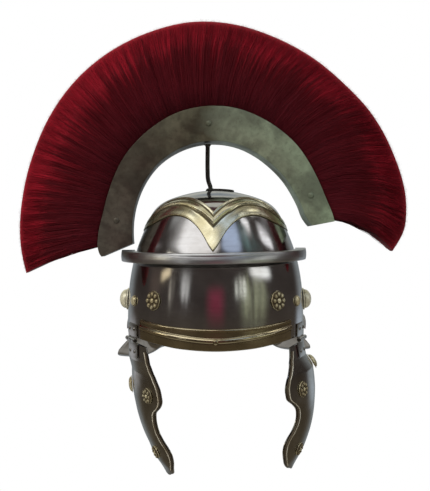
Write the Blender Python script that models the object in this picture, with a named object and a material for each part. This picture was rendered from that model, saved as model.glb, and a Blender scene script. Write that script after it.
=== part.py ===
"""Roman legionary helmet with a transverse crest, in metres, Z up, front towards -Y.

The origin is the inner top of the bowl. Lengths in this file are millimetres until build() scales them.
"""

import math

import bmesh
import bpy
import numpy as np

MM = 0.001
GAP = 0.4  # clear space between a fitted piece and what it sits on

# Bowl: depth below the outer top against half width, and the plan's length to width
DOME = np.array(
    [(0, 0), (1.2, 18.4), (4.9, 36.2), (8.6, 48.6), (12.2, 57.8), (15.8, 64.2), (19.4, 68.8), (23, 72),
     (27, 74.8), (32, 77.5), (38, 80.3), (47.9, 84.5), (54.9, 87.4), (62, 90.2), (70, 93), (80, 95.9),
     (92, 98.5), (107, 101), (125, 102.6), (145, 103.2), (172.6, 102.8), (205, 100.4)], float)
PLAN = 1.135
WALL = 1.5
# Angle from the front against the depth of the rim, and the reach and drop of the neck guard
RIM = [(0, 172.6), (20, 171.3), (37, 168.4), (52, 166), (70, 164.8), (86, 164), (91, 158), (97, 151),
       (104, 149), (110, 152), (115, 162), (119, 178), (123, 190), (130, 194), (141, 189), (150, 188),
       (180, 186)]
REACH = [(0, 0), (114, 0), (118, 24), (122, 49), (128, 62), (136, 65), (150, 63), (180, 60)]
DROP = [(0, 0), (113, 0), (120, 14), (130, 20), (141, 18), (150, 15), (180, 12)]
COLUMNS = [0, 9, 18, 27, 36, 45, 54, 62, 70, 78, 86, 91, 97, 104, 110, 114, 118, 122, 127, 133, 141,
           150, 160, 170, 180]
DOME_ROWS = [0, 0.006, 0.025, 0.06, 0.11, 0.18, 0.27, 0.38, 0.52, 0.68, 0.84, 1]
GUARD_ROWS = [22, 45, 68, 90]

# Brow ornament: angle, upper edge, lower edge, place of the ridge between them
BROW = np.array(
    [(0, 31.6, 71.2, 0.4), (2.5, 28.9, 66, 0.39), (5.2, 25.9, 58.8, 0.38), (7.8, 23.4, 52.8, 0.36),
     (10.4, 21.1, 48, 0.35), (14.5, 18.3, 42.2, 0.34), (19, 16.4, 37.8, 0.34), (24.2, 15, 34.8, 0.34),
     (31, 14.4, 33.1, 0.34), (38.7, 14.8, 33.2, 0.35), (45, 15.9, 35.3, 0.36), (51.1, 17.6, 38.2, 0.37),
     (58, 21.8, 41.2, 0.4), (65, 28.5, 43.6, 0.45), (72, 33.6, 45.4, 0.5), (80, 37, 46.8, 0.5),
     (88, 39.4, 48, 0.5), (95, 42.6, 48.8, 0.5), (100, 46, 48.4, 0.5)], float)
BROW_RELIEF = 2.2
BROW_GAP = 0.8

# Brow guard bar
BAR_HALF_WIDTH = 110
BAR_HALF_LENGTH = 122.5
BAR_END = 85
BAR_TOP = -71.2
BAR_RISE = 2.7
BAR_HEIGHT = 11.4
BAR_THICK = 2.2
BAR_SHIFT = 2.2  # set of its two ends to the wearer's right

# Brass band round the front rim: angle against upper edge and bead
BAND_END = 51
BAND = [(0, 150.4, 162.4), (22, 149.2, 158.5), (33, 147.8, 155.4), (45, 145.8, 152), (51, 144.8, 150.4)]
BAND_THICK = 1.1
BEAD_HEIGHT = 2.2

# Crest: centre of the arch, lean to the wearer's right, turn about the vertical, depth of the box
CREST_CENTRE = (0.7, 0.0, -42.5)
CREST_LEAN = 5
CREST_TURN = 3
BOX_HALF_DEPTH = 16
BOX_INNER = [(-100, 100.5), (-86, 99.3), (-70, 99), (-51, 100), (-39, 101), (-21, 101.5), (0, 101.2),
             (21, 99.8), (34, 98.2), (46, 97.5), (59, 98.3), (71, 99.8), (83.5, 103), (97, 107)]
BOX_SHEET = 1.3
BOX_OUTER = [(0, 142.5), (15, 141.5), (27, 139), (38, 137), (48, 135.5), (60, 133), (70, 132.2),
             (80, 133.6), (87, 137), (98, 142)]
BOX_ENDS = ((-95.8, -99.4), (94.6, 91.8))  # at the inner edge and at the outer one
BOX_STATIONS = 45
BOX_RIVETS = ((-81, 117), (0.5, 122), (76, 117))
HAIR_ENDS = ((-94.3, -94.2, -98.0), (93.1, 90.4, 101.5))  # at the root, the box's edge and the tips
HAIR_TIPS = [(-98, 225), (-91, 228.5), (-73, 229.5), (-61.6, 231.3), (-50, 235.2), (-38, 239.2), (-26, 242),
             (-14, 243.8), (-2, 245.2), (4, 244.2), (10, 242.4), (22, 237.4), (34.5, 233.6), (46.6, 230.8),
             (58.8, 231.5), (71, 231), (89, 230), (95, 226), (102, 213)]
HAIR_LOCKS = 28
STEM_RADIUS = 2.3
STEM_FOOT = (-6.1, 0.0)
STEM_PATH = [(-6.1, 2.6), (-6.1, 9.5), (-6.7, 11.5), (-8.8, 15.5), (-9.9, 20), (-10.2, 26), (-10.2, 57.2)]

# Cheek guards: height, half width and half length of the plan, front angle, rear angle
CHEEK = np.array(
    [(-170, 102.4, 118, 49.8, 88), (-182, 103.6, 118, 48.4, 88.6), (-196, 105, 118, 46.2, 89.6),
     (-207, 106, 118, 43.2, 90.4), (-214, 106.4, 118, 41, 90.8), (-222, 106.5, 118, 39.7, 90.8),
     (-229, 106.3, 117.8, 39.9, 90.2), (-236, 105.7, 117.4, 42.3, 89), (-242, 105, 117, 45.3, 87.6),
     (-248, 104.2, 116.6, 47, 86), (-256, 102.8, 116, 46.1, 83.6), (-266, 100.4, 115, 43.6, 80),
     (-276, 97.2, 114, 40.6, 76.4), (-285, 93.4, 113, 40, 73), (-293, 89, 112, 41.4, 70),
     (-300, 84.4, 111, 44.4, 67), (-306, 80, 110, 49.4, 64.2), (-310.5, 76.4, 109, 55, 61)], float)
CHEEK_SHEET = 1.3
CHEEK_SWING = {"left": 5, "right": -4.5}
CHEEK_JOG = {-1: -3.0, 1: 4.4}  # sideways set of the plate below its hinge leaf
CHEEK_AROUND = {-1: -2.5, 1: 1.5}  # set round the bowl, in degrees
CHEEK_LENGTH = {-1: 1.045, 1: 0.98}
HINGE_ANGLE = 66
HINGE_HEIGHT = -167.4
HINGE_WIDTH = 31
KNUCKLE_OUT = 1.6
KNUCKLE = 2.4
KNUCKLE_BORE = 1.25
PIN = 0.85
LEAF_TOP = -150
LEAF_BOTTOM = -187
LEAF_SHEET = 1.1
LEAF_HEADS = (-155.5, -180.5)  # heights of the rivet heads on both leaves

# Flange over the ear cut-out: angle against depth, and how far it stands out on each side
EAR_PATH = [(87.5, 160.5), (90, 156.5), (93, 152), (97, 147.6), (101, 145.6), (106, 145.6), (110, 148),
            (113.5, 153), (116, 160), (118, 168)]
EAR_REACH = {"left": 2.8, "right": 5.8}

# Reliefs on the wall: name, angle, depth, radius, height, petals
WALL_RELIEFS = [("temple_rosette", 40, 123.5, 10.4, 3.4, 8), ("temple_stud", 61, 126, 6.2, 3.6, 0),
                ("side_boss", 88, 127.5, 12.2, 9.9, 0)]
# Reliefs on the cheek guards: name, angle, height, radius, relief, petals
CHEEK_RELIEFS = {
    "left": [("cheek_rosette", 52, -224, 8.6, 3.2, 8), ("cheek_boss", 84, -224, 10.5, 5.0, 0),
             ("cheek_stud", 56, -289, 7.4, 3.0, 8)],
    "right": [("cheek_rosette", 52, -224, 8.6, 3.2, 8), ("cheek_boss", 84, -201, 10.5, 6.5, 0),
              ("cheek_stud", 56, -289, 7.4, 3.0, 8)]}


def material(name, colour, metallic, roughness):
    made = bpy.data.materials.new(name)
    made.use_nodes = True
    shader = made.node_tree.nodes["Principled BSDF"]
    shader.inputs["Base Color"].default_value = (*colour, 1)
    shader.inputs["Metallic"].default_value = metallic
    shader.inputs["Roughness"].default_value = roughness
    made.diffuse_color = (*colour, 1)
    return made


def bowl_steel():
    return material("bowl_steel", (0.33, 0.31, 0.32), 1, 0.22)


def guard_steel():
    return material("guard_steel", (0.36, 0.35, 0.36), 1, 0.28)


def crest_steel():
    return material("crest_steel", (0.34, 0.35, 0.30), 1, 0.4)


def brass():
    return material("brass", (0.62, 0.49, 0.22), 1, 0.28)


def dark_iron():
    return material("dark_iron", (0.08, 0.08, 0.08), 1, 0.5)


def crest_hair():
    return material("red_hair", (0.32, 0.015, 0.025), 0, 0.7)


def build(name, points, faces, surface, origin=(0, 0, 0)):
    """Makes one closed mesh object from points in millimetres, with its origin at origin."""
    origin = np.array(origin, float)
    mesh = bpy.data.meshes.new(name)
    mesh.from_pydata([tuple(p) for p in (np.asarray(points) - origin) * MM], [], faces)
    work = bmesh.new()
    work.from_mesh(mesh)
    bmesh.ops.remove_doubles(work, verts=work.verts, dist=1e-6)
    bmesh.ops.recalc_face_normals(work, faces=work.faces)
    work.to_mesh(mesh)
    work.free()
    mesh.materials.append(surface)
    made = bpy.data.objects.new(name, mesh)
    made.location = origin * MM
    bpy.context.scene.collection.objects.link(made)
    return made


def fuse(body, helpers):
    """Joins the helpers to the body with exact Booleans."""
    for helper in helpers:
        helper.hide_render = True
        helper.display_type = "WIRE"
        joined = body.modifiers.new("join " + helper.name, "BOOLEAN")
        joined.operation = "UNION"
        joined.solver = "EXACT"
        joined.object = helper
    return body


def sheet(outer, inner, wrap=False, pole=False):
    """Points and faces of the closed body between two grids of the same shape."""
    rows, cols = outer.shape[:2]
    points = np.concatenate([outer.reshape(-1, 3), inner.reshape(-1, 3)])
    under = rows * cols
    faces = []
    for j in range(cols if wrap else cols - 1):
        k = (j + 1) % cols
        for i in range(rows - 1):
            quad = (i * cols + j, (i + 1) * cols + j, (i + 1) * cols + k, i * cols + k)
            faces.append(quad)
            faces.append(tuple(under + v for v in reversed(quad)))
        last = (rows - 1) * cols
        faces.append((last + j, under + last + j, under + last + k, last + k))
        if not pole:
            faces.append((k, under + k, under + j, j))
    if not wrap:
        for i in range(rows - 1):
            a = i * cols
            b = a + cols
            faces.append((a, under + a, under + b, b))
            faces.append((b + cols - 1, under + b + cols - 1, under + b - 1, b - 1))
    return points, faces


def loft(rings):
    """Points and faces of a body through closed rings, with flat ends."""
    count, size = rings.shape[:2]
    faces = [tuple(range(size)), tuple((count - 1) * size + v for v in reversed(range(size)))]
    for i in range(count - 1):
        for j in range(size):
            k = (j + 1) % size
            faces.append((i * size + j, i * size + k, (i + 1) * size + k, (i + 1) * size + j))
    return rings.reshape(-1, 3), faces


def half_width(depth):
    """Smooth curve through the dome's table, in the square root of depth, and its slope in that root."""
    root = np.sqrt(DOME[:, 0])
    slopes = np.gradient(DOME[:, 1], root)
    at = np.sqrt(np.maximum(depth, 0))
    i = np.clip(np.searchsorted(root, at) - 1, 0, len(root) - 2)
    step = root[i + 1] - root[i]
    t = np.clip((at - root[i]) / step, 0, 1)
    low, high = DOME[i, 1], DOME[i + 1, 1]
    value = (low * (2 * t**3 - 3 * t**2 + 1) + slopes[i] * step * (t**3 - 2 * t**2 + t)
             + high * (3 * t**2 - 2 * t**3) + slopes[i + 1] * step * (t**3 - t**2))
    slope = (low * (6 * t**2 - 6 * t) / step + slopes[i] * (3 * t**2 - 4 * t + 1)
             + high * (6 * t - 6 * t**2) / step + slopes[i + 1] * (3 * t**2 - 2 * t))
    return value, slope


def table(pairs, x):
    pairs = np.array(pairs, float)
    return np.interp(x, pairs[:, 0], pairs[:, 1])


def smooth(pairs, x):
    """Cubic curve through (x, value) pairs."""
    pairs = np.array(pairs, float)
    xs, ys = pairs[:, 0], pairs[:, 1]
    slopes = np.gradient(ys, xs)
    x = np.clip(x, xs[0], xs[-1])
    i = np.clip(np.searchsorted(xs, x) - 1, 0, len(xs) - 2)
    step = xs[i + 1] - xs[i]
    t = (x - xs[i]) / step
    return (ys[i] * (2 * t**3 - 3 * t**2 + 1) + slopes[i] * step * (t**3 - 2 * t**2 + t)
            + ys[i + 1] * (3 * t**2 - 2 * t**3) + slopes[i + 1] * step * (t**3 - t**2))


def wall_point(degrees, depth, out=0.0):
    """Point at this angle from the front and depth, moved out from the bowl's surface."""
    angle = np.radians(degrees)
    width, slope = half_width(depth)
    length = np.hypot(2 * np.sqrt(np.maximum(depth, 1e-6)), slope)
    across = 2 * np.sqrt(np.maximum(depth, 1e-6)) / length
    up = slope / length
    flat = np.array([np.sin(angle), -np.cos(angle) / PLAN])
    flat = flat / np.hypot(*flat)
    x = width * np.sin(angle) + out * across * flat[0]
    y = -PLAN * width * np.cos(angle) + out * across * flat[1]
    return np.stack([x, y, WALL - depth + out * up + 0 * x], axis=-1)


def frame_at(surface, u, v):
    """Point, outward normal and a tangent of a surface function at (u, v)."""
    point = surface(u, v, 0.0)
    along = surface(u + 0.5, v, 0.0) - surface(u - 0.5, v, 0.0)
    normal = np.cross(along, surface(u, v + 0.5, 0.0) - surface(u, v - 0.5, 0.0))
    normal *= np.sign(normal.dot(surface(u, v, 1.0) - point)) / np.linalg.norm(normal)
    along -= normal * along.dot(normal)
    return point, normal, along / np.linalg.norm(along)


def rosette(name, surface, u, v, radius, height, petals, made_of, move=None, origin=(0, 0, 0)):
    """A round relief of rings and petals standing on a surface."""
    point, normal, along = frame_at(surface, u, v)
    side = np.cross(normal, along)
    turn = np.linspace(0, 2 * np.pi, 16 if petals else 12, endpoint=False)
    wave = np.cos(petals * turn) if petals else 0 * turn
    if petals:
        rings = [(1, 0.05), (0.88, 0.55), (0.5, 0.75), (0.3, 0.5)]
    else:
        rings = [(1, 0.05), (0.85, 0.6), (0.48, 0.93)]
    points = [point + normal * GAP]
    for r, h in [(1, 0), *rings]:
        size = radius * (r * (1 + (0.07 * wave if petals and r > 0.8 else 0 * wave)))
        lift = GAP + height * h * (1 + (0.12 * wave if petals and 0.4 < r < 0.95 else 0 * wave))
        for angle, far, up in zip(turn, size, lift):
            points.append(point + normal * up + (along * math.cos(angle) + side * math.sin(angle)) * far)
    points.append(point + normal * (GAP + height))
    points = np.array(points)
    count = len(turn)
    faces = []
    for j in range(count):
        k = (j + 1) % count
        faces.append((0, 1 + k, 1 + j))
        for i in range(len(rings)):
            a = 1 + i * count
            b = a + count
            faces.append((a + j, a + k, b + k, b + j))
        top = 1 + len(rings) * count
        faces.append((top + j, top + k, len(points) - 1))
    if move is not None:
        points = move(points)
    return build(name, points, faces, made_of, origin)


def make_bowl(steel):
    """One sheet: dome, wall with ear cut-outs, nape and neck guard."""
    half = np.array(COLUMNS, float)
    angles = np.concatenate([half, -half[-2:0:-1]])
    outer, inner = [], []
    for degrees in angles:
        rim = table(RIM, abs(degrees))
        reach = table(REACH, abs(degrees))
        drop = table(DROP, abs(degrees))
        depths = rim * np.array(DOME_ROWS)
        width, slope = half_width(depths)
        root = 2 * np.sqrt(np.maximum(depths, 0))
        length = np.hypot(root, slope)
        across, up = root / length, slope / length
        height = WALL - depths
        turn = np.radians(GUARD_ROWS)
        width = np.append(width, width[-1] + reach * (1 - np.cos(turn)))
        height = np.append(height, height[-1] - drop * np.sin(turn))
        if reach > 0.1:
            # The sheet's outside is its upper side on the neck guard
            size = np.hypot(reach * np.sin(turn), drop * np.cos(turn))
            across = np.append(across, drop * np.cos(turn) / size)
            up = np.append(up, reach * np.sin(turn) / size)
        else:
            across = np.append(across, [across[-1]] * len(turn))
            up = np.append(up, [up[-1]] * len(turn))
        angle = math.radians(degrees)
        grow = width * PLAN - (PLAN - 1) * np.maximum(width - table(DOME, rim), 0)
        outer.append(np.stack([width * math.sin(angle), -grow * math.cos(angle), height], axis=1))
        inner.append(np.stack([(width - WALL * across) * math.sin(angle),
                               -(grow - WALL * across) * math.cos(angle), height - WALL * up], axis=1))
    outer = np.array(outer).transpose(1, 0, 2)
    inner = np.array(inner).transpose(1, 0, 2)
    return build("bowl", *sheet(outer, inner, wrap=True, pole=True), steel)


def make_brow_ornament(metal):
    """Brass eyebrows that meet in a V over the nose, with a ridge near their upper edge."""
    columns = np.concatenate([-BROW[:0:-1, 0], BROW[:, 0]])
    upper = smooth(BROW[:, [0, 1]], np.abs(columns))
    lower = smooth(BROW[:, [0, 2]], np.abs(columns))
    ridge = smooth(BROW[:, [0, 3]], np.abs(columns))
    fade = np.clip((100 - np.abs(columns)) / 25, 0.15, 1)
    across = [(0 * ridge, 1.3), (ridge * 0.55, 1.5), (ridge, 1.3 + BROW_RELIEF), (ridge + 0.16, 1.8),
              (ridge * 0.4 + 0.6, 1.5), (0 * ridge + 1, 1.1)]
    outer, inner = [], []
    for place, height in across:
        depth = upper + (lower - upper) * place
        lift = BROW_GAP + 1.1 + (height - 1.1) * fade
        outer.append([wall_point(a, d, h) for a, d, h in zip(columns, depth, lift)])
        inner.append([wall_point(a, d, BROW_GAP) for a, d in zip(columns, depth)])
    return build("brow_ornament", *sheet(np.array(outer), np.array(inner)), metal)


def make_brow_band(metal):
    """Brass band round the front rim with a bead along it and a rivet in the middle."""
    columns = np.linspace(-BAND_END, BAND_END, 25)
    band = np.array(BAND, float)
    upper = smooth(band[:, [0, 1]], np.abs(columns))
    bead = smooth(band[:, [0, 2]], np.abs(columns))
    rim = table(RIM, np.abs(columns))
    steps = [(upper, 0), (bead - 2.2, 0), (bead - 1.4, 0.7), (bead, 1), (bead + 1.4, 0.7), (bead + 2.2, 0),
             (rim + 0.1, 0)]
    outer, inner = [], []
    for depth, lift in steps:
        height = GAP + BAND_THICK + BEAD_HEIGHT * lift
        outer.append([wall_point(a, d, height) for a, d in zip(columns, depth)])
        inner.append([wall_point(a, d, GAP) for a, d in zip(columns, depth)])
    made = build("brow_band", *sheet(np.array(outer), np.array(inner)), metal)

    def bead_top(degrees, depth, out):
        return wall_point(degrees, depth, out + BAND_THICK + 1.2)

    head = rosette("band_rivet", bead_top, 0.0, 162.6, 3.0, 2.0, 0, metal)
    return fuse(made, [head])


def make_brow_guard(steel):
    """Bar of L section round the front: a flange and a web that meets the bowl."""
    rings = []
    for degrees in np.linspace(-BAR_END, BAR_END, 33):
        angle = math.radians(degrees)
        top = BAR_TOP + BAR_RISE * (degrees / BAR_END) ** 2
        web = top - 1.7
        bowl = float(half_width(WALL - web)[0])
        plan = np.array([math.sin(angle), -math.cos(angle)])
        outer = np.array([BAR_HALF_WIDTH - BAR_SHIFT * math.sin(angle), BAR_HALF_LENGTH])
        inside = np.array([bowl, bowl * PLAN]) + GAP + 0.1
        corners = [(outer, top), (outer, top - BAR_HEIGHT), (outer - BAR_THICK, top - BAR_HEIGHT),
                   (outer - BAR_THICK, web), (inside, web), (inside, top)]
        rings.append([(*(plan * size), z) for size, z in corners])
    return build("brow_guard", *loft(np.array(rings)), steel)


def crest_point(degrees, radius, y):
    """Point of the crest: angle from its top towards +X, radius, distance behind its mid plane."""
    a = math.radians(degrees)
    lean = math.radians(CREST_LEAN)
    turn = math.radians(CREST_TURN)
    x, z = radius * math.sin(a), radius * math.cos(a)
    x, z = x * math.cos(lean) - z * math.sin(lean), x * math.sin(lean) + z * math.cos(lean)
    x, y = x * math.cos(turn) - y * math.sin(turn), x * math.sin(turn) + y * math.cos(turn)
    return np.array([x, y, z]) + CREST_CENTRE


def box_end(side, radius):
    """Angle of one end of the box at this radius."""
    inner, outer = BOX_ENDS[side]
    return inner + (outer - inner) * (radius - 100) / 40


def make_crest_box(steel):
    """Arched channel, open outwards, with closed ends and three rivet heads on each face."""

    def block(name, low, high, depth, shorten):
        rings = []
        for t in np.linspace(0, 1, BOX_STATIONS):
            root = BOX_ENDS[0][0] * (1 - t) + BOX_ENDS[1][0] * t
            rise = BOX_ENDS[0][1] * (1 - t) + BOX_ENDS[1][1] * t
            inner = float(smooth(BOX_INNER, root)) + low
            # The outer corners of both ends are rounded
            edge = min(t, 1 - t) * (BOX_STATIONS - 1)
            outer = float(smooth(BOX_OUTER, abs(rise))) + high - max(0, 2.2 - edge) ** 2 * 1.6
            ring = []
            for radius, y in ((inner, -1), (outer, -1), (outer, 1), (inner, 1)):
                left, right = box_end(0, radius) + shorten, box_end(1, radius) - shorten
                ring.append(crest_point(left * (1 - t) + right * t, radius, y * depth))
            rings.append(ring)
        return build(name, *loft(np.array(rings)), steel)

    box = block("crest_box", 0, 0, BOX_HALF_DEPTH, 0)
    hollow = block("crest_hollow", BOX_SHEET, 14, BOX_HALF_DEPTH - BOX_SHEET, 0.7)
    hollow.hide_render = True
    hollow.display_type = "WIRE"
    cut = box.modifiers.new("hollow", "BOOLEAN")
    cut.operation = "DIFFERENCE"
    cut.solver = "EXACT"
    cut.object = hollow
    heads = []
    for i, (degrees, radius) in enumerate(BOX_RIVETS):
        for side in (-1, 1):
            def face(u, v, out, side=side):
                return crest_point(u, v, side * (BOX_HALF_DEPTH - GAP - 0.2 + out))
            heads.append(rosette(f"box_rivet_{i}_{side}", face, degrees, radius, 4.2, 2.0, 0, steel))
    return fuse(box, heads)


def make_crest_hair(hair):
    """Radial locks of hair fused to one backing that fills the box's channel."""
    per_lock = 4
    columns = HAIR_LOCKS * per_lock + 1
    inside = BOX_HALF_DEPTH - BOX_SHEET - GAP
    rings = []
    for t in range(columns):
        share = t / (columns - 1)
        wave = 0.5 - 0.5 * math.cos(2 * math.pi * t / per_lock)
        root, rise, tip = [a * (1 - share) + b * share for a, b in zip(*HAIR_ENDS)]
        base = float(smooth(BOX_INNER, root)) + BOX_SHEET + 2 * GAP
        reach = float(smooth(HAIR_TIPS, tip)) - 3.5 + 3.0 * wave
        edge = float(smooth(BOX_OUTER, abs(rise))) + 1.5
        stations = [(base, root, inside), (edge, rise, inside)]
        for along, thick in ((0.6, 16.4), (1, 9.5)):
            stations.append((edge + (reach - edge) * along, rise + (tip - rise) * along,
                             thick * (0.9 + 0.1 * wave)))
        ring = [crest_point(a, r, -y) for r, a, y in stations]
        ring.append(crest_point(tip, reach + 4.5, 0))
        ring += [crest_point(a, r, y) for r, a, y in reversed(stations)]
        rings.append(ring)
    return build("crest_hair", *loft(np.array(rings)), hair)


def ring_at(centre, axis_a, axis_b, radius, count):
    angles = np.linspace(0, 2 * np.pi, count, endpoint=False)[:, None]
    return centre + radius * (np.cos(angles) * axis_a + np.sin(angles) * axis_b)


def make_crest_stem(iron):
    """Bent rod from the crown to the inside of the arch, with a small collar under the box."""
    x_axis, y_axis = np.array([1.0, 0, 0]), np.array([0, 1.0, 0])
    rings = [ring_at(np.array([x, 0, z]), x_axis, y_axis, STEM_RADIUS, 10) for x, z in STEM_PATH]
    rod = build("crest_stem", *loft(np.array(rings)), iron)
    x, top = STEM_PATH[-1]
    collar = [ring_at(np.array([x, 0, z]), x_axis, y_axis, r, 10)
              for z, r in ((top - 4, 2.9), (top - 1.2, 6.0), (top - 0.1, 6.0))]
    return fuse(rod, [build("stem_collar", *loft(np.array(collar)), iron)])


def make_crest_holder(steel):
    """Low plate on the crown with a collar that the stem's foot stands in."""
    columns = np.linspace(0, 2 * np.pi, 20, endpoint=False)
    reach = [(0.0, 1.7), (0.55, 1.7), (0.9, 1.6), (1.0, 1.0)]
    outer, inner = [], []
    for share, top in reach:
        row, under = [], []
        for a in columns:
            x = 4.5 + 17.5 * share * np.sign(math.cos(a)) * abs(math.cos(a)) ** 0.6
            y = 13.5 * share * np.sign(math.sin(a)) * abs(math.sin(a)) ** 0.6
            away = math.hypot(x, y / PLAN)
            depth = 2 * (away / 24.0) ** 2
            row.append((x, y, WALL - depth + GAP + top))
            under.append((x, y, WALL - depth + GAP))
        outer.append(row)
        inner.append(under)
    plate = build("crest_holder", *sheet(np.array(outer), np.array(inner), wrap=True, pole=True), steel)
    middle = np.array([STEM_FOOT[0], STEM_FOOT[1], 0])
    x_axis, y_axis = np.array([1.0, 0, 0]), np.array([0, 1.0, 0])
    tube = build("holder_collar", *loft(np.array(
        [ring_at(middle + (0, 0, z), x_axis, y_axis, r, 14) for z, r in ((1.9, 4.6), (5.2, 4.4), (5.8, 3.8))]
    )), steel)
    fuse(plate, [tube])
    bore = build("holder_bore", *loft(np.array(
        [ring_at(middle + (0, 0, z), x_axis, y_axis, STEM_RADIUS + 0.45, 14) for z in (2.2, 12)])), steel)
    bore.hide_render = True
    bore.display_type = "WIRE"
    cut = plate.modifiers.new("bore", "BOOLEAN")
    cut.operation = "DIFFERENCE"
    cut.solver = "EXACT"
    cut.object = bore
    return plate


def make_ear_guard(side, metal):
    """Curved flange that stands out over the ear cut-out."""
    sign = -1 if side == "left" else 1
    rings = []
    for i, (degrees, depth) in enumerate(EAR_PATH):
        share = math.sin(math.pi * (i + 0.6) / (len(EAR_PATH) + 0.2))
        out = EAR_REACH[side] * (0.4 + 0.6 * share)
        drop = 1.5 + 1.5 * share
        ring = [wall_point(sign * degrees, depth, GAP), wall_point(sign * degrees, depth + 1.3, GAP),
                wall_point(sign * degrees, depth + 1.3 + drop, GAP + out),
                wall_point(sign * degrees, depth + drop, GAP + out)]
        rings.append(ring)
    return build("ear_guard_" + side, *loft(np.array(rings)), metal)


def cheek_surface(sign):
    """Surface of a cheek guard that hangs straight, by angle from the front and height."""
    def at(degrees, height, out):
        jog = CHEEK_JOG[sign] * np.clip((-189 - height) / 14, 0, 1)
        half = smooth(CHEEK[::-1, [0, 1]], height) + jog
        length = smooth(CHEEK[::-1, [0, 2]], height)
        angle = math.radians(degrees + CHEEK_AROUND[sign])
        long = -170 + (height + 170) * CHEEK_LENGTH[sign]
        base = np.array([half * math.sin(angle), -length * math.cos(angle), long])
        if out:
            lean = (smooth(CHEEK[::-1, [0, 1]], height + 1) - smooth(CHEEK[::-1, [0, 1]], height - 1)) / 2
            normal = np.array([math.sin(angle) / half, -math.cos(angle) / length, 0])
            normal /= np.linalg.norm(normal)
            normal[2] = -lean
            base = base + out * normal / np.linalg.norm(normal)
        return base * (sign, 1, 1)
    return at


def hinge_frame(sign):
    """Centre of the hinge pin, its direction and the outward direction, for this side."""
    angle = math.radians(HINGE_ANGLE + CHEEK_AROUND[sign])
    half = float(smooth(CHEEK[::-1, [0, 1]], -170.0)) + 0.4
    length = 118.4
    foot = np.array([half * math.sin(angle), -length * math.cos(angle), HINGE_HEIGHT])
    out = np.array([math.sin(angle) / half, -math.cos(angle) / length, 0])
    out /= np.linalg.norm(out)
    along = np.array([-out[1], out[0], 0])
    centre = foot + out * (GAP + KNUCKLE_OUT)
    mirror = np.array([sign, 1, 1])
    return centre * mirror, along * mirror, out * mirror


def swing_of(side):
    """Function that turns points about the hinge by the guard's rest angle."""
    sign = -1 if side == "left" else 1
    centre, along, _ = hinge_frame(sign)
    angle = math.radians(CHEEK_SWING[side]) * sign
    c, s = math.cos(angle), math.sin(angle)
    k = along
    turn = (np.eye(3) * c + s * np.array([[0, -k[2], k[1]], [k[2], 0, -k[0]], [-k[1], k[0], 0]])
            + (1 - c) * np.outer(k, k))
    return lambda points: (np.asarray(points) - centre) @ turn.T + centre


def cheek_edges(height):
    return (float(smooth(CHEEK[::-1, [0, 3]], height)), float(smooth(CHEEK[::-1, [0, 4]], height)))


def make_cheek_guard(side, steel):
    """Curved plate with a scalloped front edge that narrows to a rounded tip."""
    sign = -1 if side == "left" else 1
    surface = cheek_surface(sign)
    heights = np.concatenate([[-170, -179.5, -189, -196, -203, -210.5], np.linspace(-218, -252, 10),
                              np.linspace(-258, -300, 6), [-304, -307.5, -310.5]])
    columns = np.linspace(0, 1, 7)
    outer, inner = [], []
    for height in heights:
        front, rear = cheek_edges(height)
        row, under = [], []
        for share in columns:
            degrees = front + (rear - front) * share
            # The top edge drops towards the front to stay clear of the rim, the tip is rounded
            lower = 3.4 * (1 - share) * max(0, 1 - (-170 - height) / 25)
            round_tip = max(0, (-300 - height) / 10.5) ** 2 * 3.2 * (1 - abs(2 * share - 1) ** 2)
            place = surface(degrees, height, 0.0) - (0, 0, lower + round_tip)
            facing = surface(degrees, height, 1.0) - surface(degrees, height, 0.0)
            row.append(place)
            under.append(place - facing * CHEEK_SHEET)
        outer.append(row)
        inner.append(under)
    points, faces = sheet(np.array(outer), np.array(inner))
    return build("cheek_guard_" + side, swing_of(side)(points), faces, steel, hinge_frame(sign)[0])


def make_cheek_trim(side, metal):
    """Raised brass edging along the front edge and round the tip."""
    sign = -1 if side == "left" else 1
    surface = cheek_surface(sign)
    heights = np.concatenate([[-178, -183.5, -189, -196, -203, -210.5], np.linspace(-219, -252, 9),
                              np.linspace(-258, -303, 8)])
    rings = []
    for height in heights:
        front, _ = cheek_edges(height)
        ring = []
        for shift, out in ((0.4, 0), (0.4, 0.8), (1.1, 1.6), (2.0, 0.8), (2.0, 0)):
            ring.append(surface(front + shift, height, GAP + 0.15 + out))
        rings.append(ring)
    points, faces = loft(np.array(rings))
    return build("cheek_trim_" + side, swing_of(side)(points), faces, metal, hinge_frame(sign)[0])


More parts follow.
